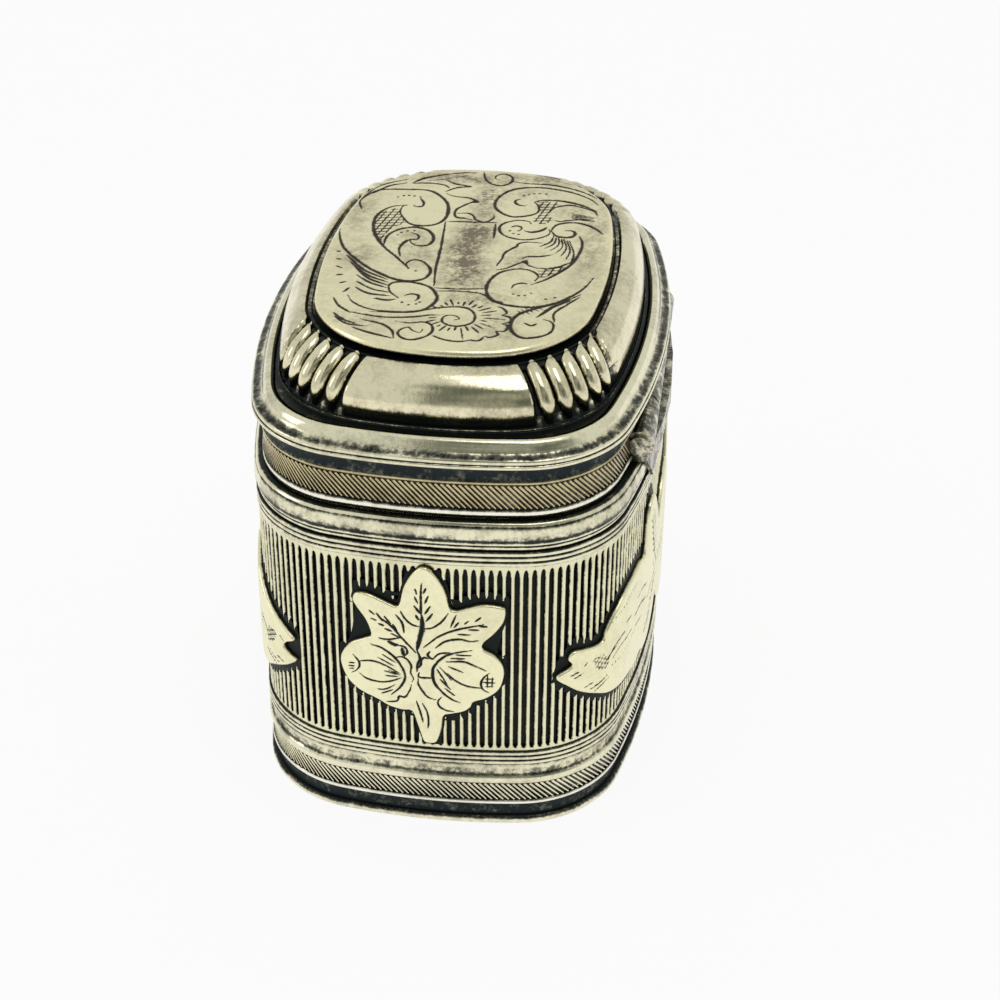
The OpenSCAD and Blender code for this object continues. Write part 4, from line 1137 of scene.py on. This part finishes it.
# Fan of the right scroll, the wing's strokes, flames of the left scroll and rays of the shell
for k in range(7):
    start = (5.75 + 0.2 * k, 3.55 - 0.1 * k)
    end = (4.9 + 0.42 * k, 1.6 - 0.22 * k - 0.03 * k * k)
    bend = (start[0] * 0.5 + end[0] * 0.5 + 0.3, start[1] * 0.5 + end[1] * 0.5 - 0.1)
    scrolls(HAIR, [start, bend, end])
for k in range(4):
    scrolls(HAIR, [(6.7, 7.5 - 0.25 * k), (7.6, 7.2 - 0.24 * k), (8.4, 7.1 - 0.2 * k)])
shell_middle = np.array((0.75, -9.6))
for k in range(26):
    angle = radians(-165 + 12.6 * k)
    ray = np.array((cos(angle), sin(angle)))
    inner = 1.5 + 0.2 * (k % 2)
    outer = (2.05, 2.5, 2.2)[k % 3] + (0.7 if 6 < k < 16 and k % 2 else 0)
    scrolls(HAIR, [shell_middle + ray * inner, shell_middle + ray * outer])
for k in range(5):
    scrolls(0.04, [(-0.6 + 0.05 * k, 10.6 - 0.42 * k), (0.75 - 0.04 * k, 10.75 - 0.42 * k)])
    scrolls(0.04, [(-4.9 + 0.5 * k, 11.7 + 0.2 * k), (-3.5 + 0.4 * k, 12.1 + 0.25 * k)])
    scrolls(0.04, [(4.5 + 0.25 * k, -8.2 + 0.2 * k), (5.2 + 0.3 * k, -8.9 + 0.24 * k)])
# Crossed hatching
for area in (
    [(-7.4, 5.6), (-6.3, 6.6), (-5.9, 5.4), (-5.3, 4.2), (-6.1, 3.2), (-6.5, 2.0), (-6.5, 0.9), (-7.2, 2.4), (-7.5, 3.9)],
    [(3.9, 9.1), (5.6, 9.3), (5.1, 8.0), (4.9, 7.2), (5.4, 6.2), (4.7, 5.2), (3.9, 5.9), (4.4, 7.0), (4.1, 8.3)],
    [(5.4, -1.95), (7.2, -0.9), (6.9, -1.9), (5.7, -3.3), (5.2, -2.7)],
):
    for tilt in (12, 78):
        plate_drawing.hatch(np.array(area) * UNIT, tilt, 0.42, 0.055)
# Rows of dots
for x, y in (
    (-6.6, 8.5), (-6.2, 8.75), (-5.8, 8.85), (-5.4, 8.8), (-4.9, 8.7), (-5.5, 2.1), (-5.3, 2.5), (-4.9, 2.8), (-4.4, 2.9),
    (-3.4, -8.2), (-2.9, -8.5), (-2.4, -8.3), (-2.2, -8.0), (2.8, 10.0), (3.1, 10.25), (3.5, 10.5), (3.9, 10.6),
    (4.4, 10.6), (2.5, 3.9), (2.8, 3.5), (3.1, 4.0), (3.2, 3.4), (4.0, -5.9), (4.4, -6.1), (4.8, -6.0), (5.2, -5.6),
    (6.3, -6.3), (6.9, -6.0), (-3.25, -3.4),
):
    plate_drawing.dot(x * UNIT, y * UNIT, 0.11)


# %% Tarnish and cut the plate
# Each spot: x, y, half width, half length and strength, in units of the squared paper
tarnish_spots = [
    (0.0, 2.9, 1.0, 1.8, 1.25), (-0.3, 0.4, 1.2, 1.7, 1.0), (0.1, -2.2, 1.2, 2.1, 1.1), (0.4, -4.6, 1.4, 1.0, 0.7),
    (0.2, 9.4, 1.0, 1.9, 0.7), (-1.8, 12.4, 3.2, 0.9, 0.6), (3.9, 13.2, 3.6, 0.7, 0.6), (0.4, 6.6, 0.8, 1.0, 0.55),
    (8.7, 2.4, 0.9, 5.0, 0.4), (3.4, -0.6, 0.9, 1.5, 0.4), (6.4, 7.8, 1.8, 0.8, 0.45), (1.6, -6.8, 1.9, 1.0, 0.5),
    (-3.2, -1.1, 1.0, 1.4, 0.35), (-7.6, -1.2, 1.1, 1.6, 0.4), (-4.2, 1.4, 1.4, 2.0, 0.3), (3.6, -10.8, 1.4, 1.6, 0.35),
    (-5.6, -11.0, 2.0, 1.2, 0.3), (5.4, -6.4, 2.0, 1.2, 0.25), (-8.9, 5.6, 0.7, 3.4, 0.3), (3.2, 10.6, 1.6, 0.9, 0.25),
]


def plate_tarnish(flat):
    """Soft spots of tarnish, strongest in the oblong."""
    total = np.zeros(len(flat))
    for x, y, half_x, half_y, strength in tarnish_spots:
        away = ((flat[:, 0] / UNIT - x) / half_x) ** 2 + ((flat[:, 1] / UNIT - y) / half_y) ** 2
        total = np.maximum(total, strength * np.exp(-0.7 * away))
    return total


def plate_height(flat, depth):
    """The plate bellies up a little in the middle."""
    return PLATE_TOP - 0.06 + 0.06 * np.clip((depth - 0.3) / 4, 0, 1)


plate_edge = [
    (0.07, PLATE_TOP - 0.08, 0.0), (0.14, PLATE_TOP - 0.12, 0.0), (0.21, PLATE_TOP - 0.18, 0.0),
    (0.27, PLATE_TOP - 0.26, 0.0), (0.30, PLATE_TOP - 0.36, 0.1), (0.30, PLATE_TOP - 0.46, 0.4),
    (0.22, PLATE_TOP - 0.53, 0.9), (0.0, PLATE_LOW, 1.0), (-0.8, PLATE_LOW, 0.2),
]
plate_mesh = relief(
    "engraved_plate", plate_drawing, PLATE.distance, 0.3, plate_height, plate_edge,
    lambda flat, h: np.c_[flat, h], "engraved_silver", plate_tarnish,
)
piece("engraved_plate", plate_mesh, "lid", "engraved_silver", "lid_top_plate")

# %% [markdown]
# ## Applied sprigs
#
# The ends of the box carry a sprig sawn from sheet: three veined leaves over two round fruits on a short
# stalk. It is soldered to the ribs, so it follows the bow of the wall. The outline is drawn flat, the sheet is
# engraved flat, and only then is each point laid on the bowed wall, as the maker bent the finished sprig.

# %% Distance to a drawn outline
def drawn_contour(points):
    """A function that gives the distance outside a closed outline and the direction straight out."""
    line = np.asarray(points, float)
    after = np.roll(line, -1, 0)

    def contour(flat):
        best = np.full(len(flat), 1e9)
        nearest = np.zeros_like(flat)
        inside = np.zeros(len(flat), bool)
        for a, b in zip(line, after):
            t = np.clip(((flat - a) @ (b - a)) / max(np.dot(b - a, b - a), 1e-12), 0, 1)
            foot = a + t[:, None] * (b - a)
            far = np.linalg.norm(flat - foot, axis=1)
            closer = far < best
            best[closer], nearest[closer] = far[closer], foot[closer]
            if a[1] != b[1]:
                crosses = (a[1] > flat[:, 1]) != (b[1] > flat[:, 1])
                at_x = a[0] + (flat[:, 1] - a[1]) / (b[1] - a[1]) * (b[0] - a[0])
                inside ^= crosses & (flat[:, 0] < at_x)
        sign = np.where(inside, -1.0, 1.0)
        out = (flat - nearest) / np.maximum(best, 1e-9)[:, None] * sign[:, None]
        return best * sign, out

    return contour


def closed_spline(points, per_span):
    """A smooth closed curve through points."""
    p = np.asarray(points, float)
    return spline(np.vstack([p[-2:], p, p[:3]]), per_span)[2 * per_span:(len(p) + 2) * per_span]


# %% Draw the sprig
APPLIED_IN, APPLIED_T = 0.12, 0.38
TRACED_STRETCH, TRACED_LEAN, TRACED_RIGHT, TRACED_UP = 1.01, 0.013, 0.16, 0.42


def traced(points):
    """Points read off a slanting view, set upright."""
    return [(x * TRACED_STRETCH + z * TRACED_LEAN + TRACED_RIGHT, z + TRACED_UP - 0.01 * x * x) for x, z in points]


sprig_outline = traced([
    (-0.45, 14.05), (0.1, 13.7), (0.7, 12.75), (1.0, 11.9), (1.2, 11.1), (1.6, 10.95), (2.25, 11.2), (3.25, 11.55),
    (4.3, 11.5), (4.6, 11.25), (4.5, 10.35), (3.95, 9.4), (3.3, 8.6), (3.3, 8.1), (3.95, 7.7), (4.5, 6.95),
    (4.6, 6.05), (4.3, 5.0), (3.55, 4.25), (2.75, 3.85), (2.55, 3.4), (2.1, 3.0), (1.4, 2.75), (0.85, 2.5),
    (0.72, 1.5), (0.55, 0.7), (0.3, 0.22), (-0.35, 0.22), (-0.6, 0.8), (-0.85, 1.7), (-1.2, 2.7), (-1.84, 2.75),
    (-2.7, 3.0), (-3.4, 3.45), (-4.6, 4.1), (-5.4, 5.0), (-5.8, 6.2), (-5.7, 7.0), (-5.1, 7.85), (-4.2, 8.3),
    (-3.8, 8.6), (-4.1, 9.7), (-4.7, 10.7), (-4.95, 11.3), (-4.7, 11.75), (-4.0, 11.75), (-3.0, 11.3),
    (-2.2, 10.95), (-1.95, 11.25), (-1.75, 12.25), (-1.4, 13.1), (-1.0, 13.7),
])
# The nooks between leaves and fruits are filled by the dark sheet of solder and painted shade, so its outline leaves
# their points out
sprig_nooks = traced([(-4.2, 8.3), (-3.8, 8.6), (-4.1, 9.7), (3.95, 9.4), (3.3, 8.6), (3.3, 8.1)])
sprig_drawing = Engraving((-6.2, 0.2), (5.2, 14.9), 0.065)
SPRIG_BOLD = 1.5


def sprig(width, *strokes):
    for stroke in strokes:
        sprig_drawing.cut(traced(stroke), width * SPRIG_BOLD)


# The middle leaf with its wedge-shaped rib
sprig(0.14, [(-0.52, 10.45), (-0.52, 9.3), (-0.72, 8.4), (-0.84, 7.75)])
sprig(0.07, [(-0.84, 7.75), (-0.65, 7.1), (-0.8, 6.6), (-0.84, 6.0)], [(-0.56, 12.9), (-0.6, 11.6), (-0.56, 10.45)])
sprig(
    0.06, [(-0.96, 12.5), (-0.84, 12.05)], [(-0.99, 11.9), (-0.76, 11.35)], [(-1.03, 11.2), (-0.61, 10.6)],
    [(-0.92, 10.5), (-0.72, 10.1)], [(-0.26, 12.6), (-0.44, 12.15)], [(-0.13, 12.0), (-0.34, 11.4)],
    [(0.0, 11.25), (-0.34, 10.6)], [(0.16, 10.7), (-0.25, 10.05)],
    [(-1.9, 10.7), (-1.6, 10.15), (-1.2, 9.75), (-0.76, 9.6)], [(1.13, 10.8), (0.7, 10.1), (0.16, 9.6), (-0.4, 9.45)],
)
# The side leaves
sprig(
    0.065, [(-2.2, 10.4), (-1.77, 9.8), (-1.65, 9.0)], [(-0.88, 7.5), (-1.8, 8.6), (-2.4, 9.4), (-3.2, 10.1)],
    [(-2.0, 8.0), (-1.6, 7.9), (-1.45, 7.5), (-1.65, 7.15)], [(0.0, 7.75), (-0.15, 7.45), (0.0, 7.2), (0.25, 7.1)],
    [(-0.1, 7.1), (-0.35, 7.2), (-0.55, 7.0), (-0.6, 6.6), (-0.75, 6.3)],
    [(-3.35, 8.45), (-2.7, 8.4), (-1.9, 8.6)], [(-0.45, 7.95), (0.55, 8.95), (1.7, 9.6), (3.3, 10.15)],
    [(0.3, 8.0), (0.95, 8.6), (1.8, 8.85), (2.5, 8.75), (3.0, 8.85)],
)
sprig(0.11, [(-2.7, 8.25), (-2.3, 8.05), (-2.0, 8.0)], [(-1.8, 7.8), (-1.65, 7.2)])
sprig(
    0.055, [(-3.9, 10.6), (-3.5, 10.2)], [(-3.4, 10.4), (-3.0, 9.8)], [(-2.9, 10.2), (-2.5, 9.65)],
    [(-2.4, 9.65), (-2.1, 9.15)], [(-3.8, 9.95), (-3.4, 9.8)], [(-3.3, 9.6), (-2.9, 9.45)],
    [(-2.9, 9.25), (-2.4, 9.05)], [(-2.5, 8.9), (-2.0, 8.65)], [(1.6, 10.7), (1.25, 9.7)],
    [(1.75, 10.15), (1.5, 9.75)], [(2.4, 10.35), (2.1, 10.05)], [(3.15, 10.7), (2.75, 10.3)],
    [(3.0, 10.0), (3.55, 10.0)], [(2.4, 9.65), (3.05, 9.7)], [(1.7, 9.25), (2.55, 9.25)],
)
# The left fruit
sprig(0.075, [(-3.8, 7.9), (-3.1, 7.7), (-2.3, 7.05), (-1.8, 6.25), (-1.6, 5.5), (-1.9, 4.7), (-2.5, 4.0)])
sprig(
    0.06, [(-4.6, 6.5), (-3.7, 6.6), (-2.85, 6.3), (-1.85, 5.7)],
    [(-4.65, 5.6), (-4.1, 5.15), (-3.2, 4.95), (-2.5, 5.1), (-1.8, 5.45)],
    [(-5.0, 7.0), (-4.65, 6.55), (-4.55, 6.15), (-4.75, 5.75), (-5.1, 5.5)],
    [(-2.2, 7.05), (-1.75, 7.1), (-1.4, 6.85), (-1.2, 6.4), (-1.25, 5.9), (-1.07, 5.45), (-1.15, 5.2)],
    [(-1.2, 4.95), (-1.3, 4.5), (-1.6, 3.9), (-2.0, 3.9), (-2.15, 3.5), (-2.9, 3.35)],
)
sprig(
    0.045, [(-3.4, 6.95), (-2.2, 6.25)], [(-3.1, 7.2), (-2.2, 6.6)], [(-3.5, 4.35), (-2.9, 4.4), (-2.2, 4.85)],
    [(-3.0, 5.9), (-2.1, 5.65)], [(-2.9, 5.5), (-2.0, 5.5)], [(-3.2, 4.0), (-2.4, 4.4)], [(-2.7, 6.0), (-1.9, 5.6)],
    [(-5.25, 6.3), (-4.85, 6.3)], [(-5.3, 6.05), (-4.85, 6.05)], [(-5.3, 5.8), (-4.9, 5.85)],
)
# The right fruit
sprig(0.075, [(2.6, 8.05), (1.7, 7.8), (0.9, 7.4), (0.3, 6.65), (0.15, 5.95), (0.3, 5.2), (0.8, 4.5), (1.4, 4.0),
              (1.9, 3.8)])
sprig(
    0.06, [(1.0, 7.0), (2.1, 7.1), (2.9, 6.8), (3.55, 6.5)], [(1.05, 6.1), (1.6, 5.55), (2.3, 5.2), (3.25, 5.1)],
    [(3.75, 6.4), (3.35, 5.95), (3.2, 5.45), (3.35, 5.0), (3.75, 4.75)],
    [(-0.7, 6.0), (-0.7, 5.6), (0.1, 5.6)], [(-0.75, 5.5), (-0.75, 5.0), (-0.4, 4.35), (-0.1, 4.0), (0.4, 3.85)],
    [(0.75, 4.15), (0.5, 3.75), (0.6, 3.35), (1.0, 3.05), (1.55, 3.0)], [(0.2, 7.2), (0.6, 7.6), (1.3, 7.75)],
)
sprig(
    0.045, [(1.1, 6.65), (2.1, 6.25)], [(0.4, 6.4), (1.1, 5.15)], [(1.6, 7.6), (2.55, 7.65)], [(0.55, 6.6), (1.4, 5.5)],
    [(0.6, 5.6), (1.3, 4.8)], [(1.2, 7.3), (2.2, 7.35)], [(0.9, 4.9), (1.6, 4.3)],
    [(3.4, 5.9), (4.05, 5.9)], [(3.35, 5.6), (4.1, 5.6)], [(3.4, 5.25), (4.05, 5.3)], [(3.6, 6.15), (3.6, 5.1)],
    [(3.9, 6.1), (3.9, 5.1)],
)
# The stalk
sprig(0.055, [(-0.9, 3.7), (-0.6, 2.6), (-0.45, 1.9)], [(-0.5, 3.5), (-0.2, 2.8), (-0.1, 1.95), (-0.15, 1.45)])


def on_end(flat, h, facing):
    """Lays a drawing on the bowed end of the case."""
    centre_y, radius = CASE.sizes[1] - CASE.sizes[4], CASE.sizes[4] + APPLIED_IN
    y = centre_y + np.sqrt((radius + h) ** 2 - flat[:, 0] ** 2)
    return np.c_[flat[:, 0] * -facing, y * facing, ribs_low + flat[:, 1]]


def sheet_height(flat, depth):
    """A sheet that is a little domed."""
    return APPLIED_T - 0.06 + 0.05 * np.clip((depth - 0.1) / 0.8, 0, 1)


sheet_edge = [(0.04, 0.30, 0.0), (0.08, 0.25, 0.0), (0.10, 0.17, 0.1), (0.10, 0.0, 0.9)]
# The dark sheet round each applied piece: its solder, and painted shade in the gap round the piece
SOLDER_SHADE_H, SOLDER_SHADE_NEAR, SOLDER_SHADE_FAR = -0.01, 0.13, 0.7
slots_low, slots_high = SLOT_LOW + 0.1, ribs_high - ribs_low - SLOT_HIGH - 0.2
SLOTS_MIDDLE, SLOTS_HALF = (slots_low + slots_high) / 2, (slots_high - slots_low) / 2


def solder_and_shade_contour(contour):
    """The outline of the dark sheet round an applied piece, solder and painted shade, with a notch at every rib,
    between the slots' ends.
    """
    def grown(flat):
        distance, out = contour(flat)
        from_rib = np.abs((flat[:, 0] / pitch + 0.5) % 1 - 0.5) * 2
        reach = SOLDER_SHADE_NEAR + SOLDER_SHADE_FAR * np.clip(from_rib / 0.5, 0, 1) * np.abs(out[:, 1]) ** 2
        side = np.sign(flat[:, 1] - SLOTS_MIDDLE)
        past_slots = np.abs(flat[:, 1] - SLOTS_MIDDLE) - SLOTS_HALF
        is_past = (past_slots > distance - reach)[:, None]
        out = np.where(is_past, np.stack([0 * side, side], -1), out)
        return np.maximum(distance - reach, past_slots), out

    return grown


def applied(name, node, drawing, outline, nooks, low, high, place):
    """An engraved sheet on the ribs and the dark sheet that runs out under it between them: solder, and painted shade
    round the piece.
    """
    contour = drawn_contour(closed_spline(outline, 5))
    sheet = relief(name, drawing, contour, 0.1, sheet_height, sheet_edge, place, "applied_silver", flat_back=False)
    piece(name, sheet, "case", "engraved_silver", node)
    # The dark sheet is black all over: partly its solder, partly painted shade in the gap round the piece
    blank = Engraving(low, high, 0.09)
    blank.near -= 9.0
    filled = drawn_contour(closed_spline([point for point in outline if point not in nooks], 5))
    under = relief(
        name + "_solder", blank, solder_and_shade_contour(filled), 0.0, lambda flat, depth: np.full(len(flat), SOLDER_SHADE_H),
        [(0.0, SOLDER_SHADE_H - 0.03, 1.0)], place, "ribbed_silver", flat_back=False, cut_depth=0.0,
    )
    piece(name + "_solder", under, "case", "ribbed_silver")


for name, node, facing in (("front_leaf_sprig", "front_sprig", -1), ("back_leaf_sprig", "back_sprig", 1)):
    applied(
        name, node, sprig_drawing, sprig_outline, sprig_nooks, (-6.8, -0.4), (5.9, 15.4),
        lambda flat, h: on_end(flat, h, facing),
    )

# %% [markdown]
# ## Applied branches
#
# A leafy branch is wrapped round each long side and both of its corners. It is made like the sprigs, but
# its drawing is laid along the outline by length, so the leaves keep their width as they turn the corners.

# %% Draw the branch
branch_upper = [
    (0, 11.6), (1.5, 11.3), (2.8, 10.2), (3.4, 9.4), (4.4, 11.0), (5.6, 12.7), (6.5, 13.1), (7.4, 12.6), (7.9, 10.8),
    (8.3, 9.6), (9.4, 9.9), (11.1, 9.8), (12.9, 9.65),
]
tip_with_step = [
    (14.15, 9.0), (15.0, 8.1), (15.25, 7.45), (15.9, 7.35), (16.8, 7.5), (17.6, 7.6), (17.95, 7.1), (17.7, 6.5),
    (18.75, 5.9), (17.9, 4.95), (17.1, 4.25), (15.8, 3.45),
]
tip_with_notch = [
    (14.15, 8.9), (15.2, 8.2), (16.4, 7.6), (17.85, 6.84), (17.2, 6.25), (16.81, 5.72), (17.4, 5.4), (17.98, 5.19),
    (17.3, 4.5), (16.4, 3.9), (15.4, 3.3),
]
branch_lower = [
    (14.4, 2.75), (12.1, 2.3), (10.0, 2.0), (8.8, 2.1), (7.6, 1.6), (6.0, 1.8), (4.6, 2.9), (3.6, 4.0), (2.6, 2.8),
    (1.4, 1.5), (0, 1.1),
]
branch_nooks = [(15.0, 8.1), (15.25, 7.45), (17.95, 7.1), (17.7, 6.5), (17.2, 6.25), (16.81, 5.72), (17.4, 5.4)]
branch_nooks += [(-x, z) for x, z in branch_nooks]


def branch_outline(front_tip):
    """The whole outline, alike on both sides of its middle."""
    half = branch_upper + front_tip + branch_lower
    return half + [(-x, z) for x, z in half[-2:0:-1]]


branch_drawing = Engraving((-19.0, 0.8), (19.0, 13.4), 0.09)
for mirror in (-1, 1):
    def cut(width, *strokes):
        for stroke in strokes:
            branch_drawing.cut([(mirror * x, z) for x, z in stroke], width)

    cut(0.055, [(17.9, 5.8), (17.1, 6.0)], [(17.7, 5.5), (16.9, 5.75)], [(16.9, 6.2), (16.6, 6.5)],
        [(16.9, 4.45), (16.0, 4.65)], [(16.4, 4.1), (15.5, 4.3), (14.9, 4.5)], [(16.0, 3.75), (14.7, 4.25)])
    cut(0.06, [(14.9, 5.9), (14.0, 6.5), (12.7, 6.7)], [(14.5, 5.5), (13.5, 5.9), (11.2, 5.8)],
        [(15.0, 5.65), (14.5, 6.1), (13.8, 6.4)], [(12.6, 7.2), (11.7, 7.1)], [(11.2, 6.4), (9.6, 6.5), (7.8, 6.0)],
        [(10.7, 5.5), (8.9, 5.2)], [(10.4, 7.4), (9.0, 7.5), (7.8, 7.1)])
    for tilt in (35, -50):
        patch = [(mirror * x, z) for x, z in ((16.3, 6.5), (15.8, 5.5), (15.0, 5.1), (14.8, 5.7), (15.4, 6.5))]
        branch_drawing.hatch(patch, tilt * mirror, 0.30, 0.04)
    for k in range(12):
        branch_drawing.dot(mirror * (14.5 - 0.34 * k), 8.45 + 0.3 * min(k * 0.34, 3) ** 0.5, 0.06)
        branch_drawing.dot(mirror * (14.4 - 0.34 * k), 5.0 + 0.02 * k, 0.055)
    cut(0.085, [(0.4, 6.0), (3.0, 6.6), (5.6, 6.2), (7.6, 5.6)], [(4.6, 6.6), (5.6, 8.6), (6.3, 10.6), (6.5, 12.2)],
        [(4.9, 6.0), (6.0, 4.4), (7.4, 3.0)])
    for k in range(6):
        cut(0.05, [(1.4 + 0.8 * k, 6.8), (1.9 + 0.8 * k, 7.6)], [(1.4 + 0.8 * k, 5.9), (1.9 + 0.8 * k, 5.1)],
            [(5.1 + 0.2 * k, 8.0 + 0.6 * k), (4.7 + 0.2 * k, 8.7 + 0.6 * k)],
            [(5.6 + 0.2 * k, 8.2 + 0.6 * k), (6.2 + 0.2 * k, 8.7 + 0.6 * k)],
            [(5.6 + 0.35 * k, 5.0 - 0.35 * k), (6.2 + 0.4 * k, 5.2 - 0.4 * k)])


def on_side(flat, h, facing):
    """Lays a drawing along the wall, centred on one of the long sides."""
    middle = 0 if facing > 0 else CASE.lengths[-1] / 2
    at, out = CASE.walk(CASE.at_length(middle + flat[:, 0]))
    return np.c_[at + out * (APPLIED_IN + h)[:, None], ribs_low + flat[:, 1]]


for name, node, facing, tip in (
    ("right_leaf_branch", "right_branch", 1, tip_with_step), ("left_leaf_branch", "left_branch", -1, tip_with_notch),
):
    applied(
        name, node, branch_drawing, branch_outline(tip), branch_nooks, (-20.0, -0.1), (20.0, 14.4),
        lambda flat, h: on_side(flat, h, facing),
    )
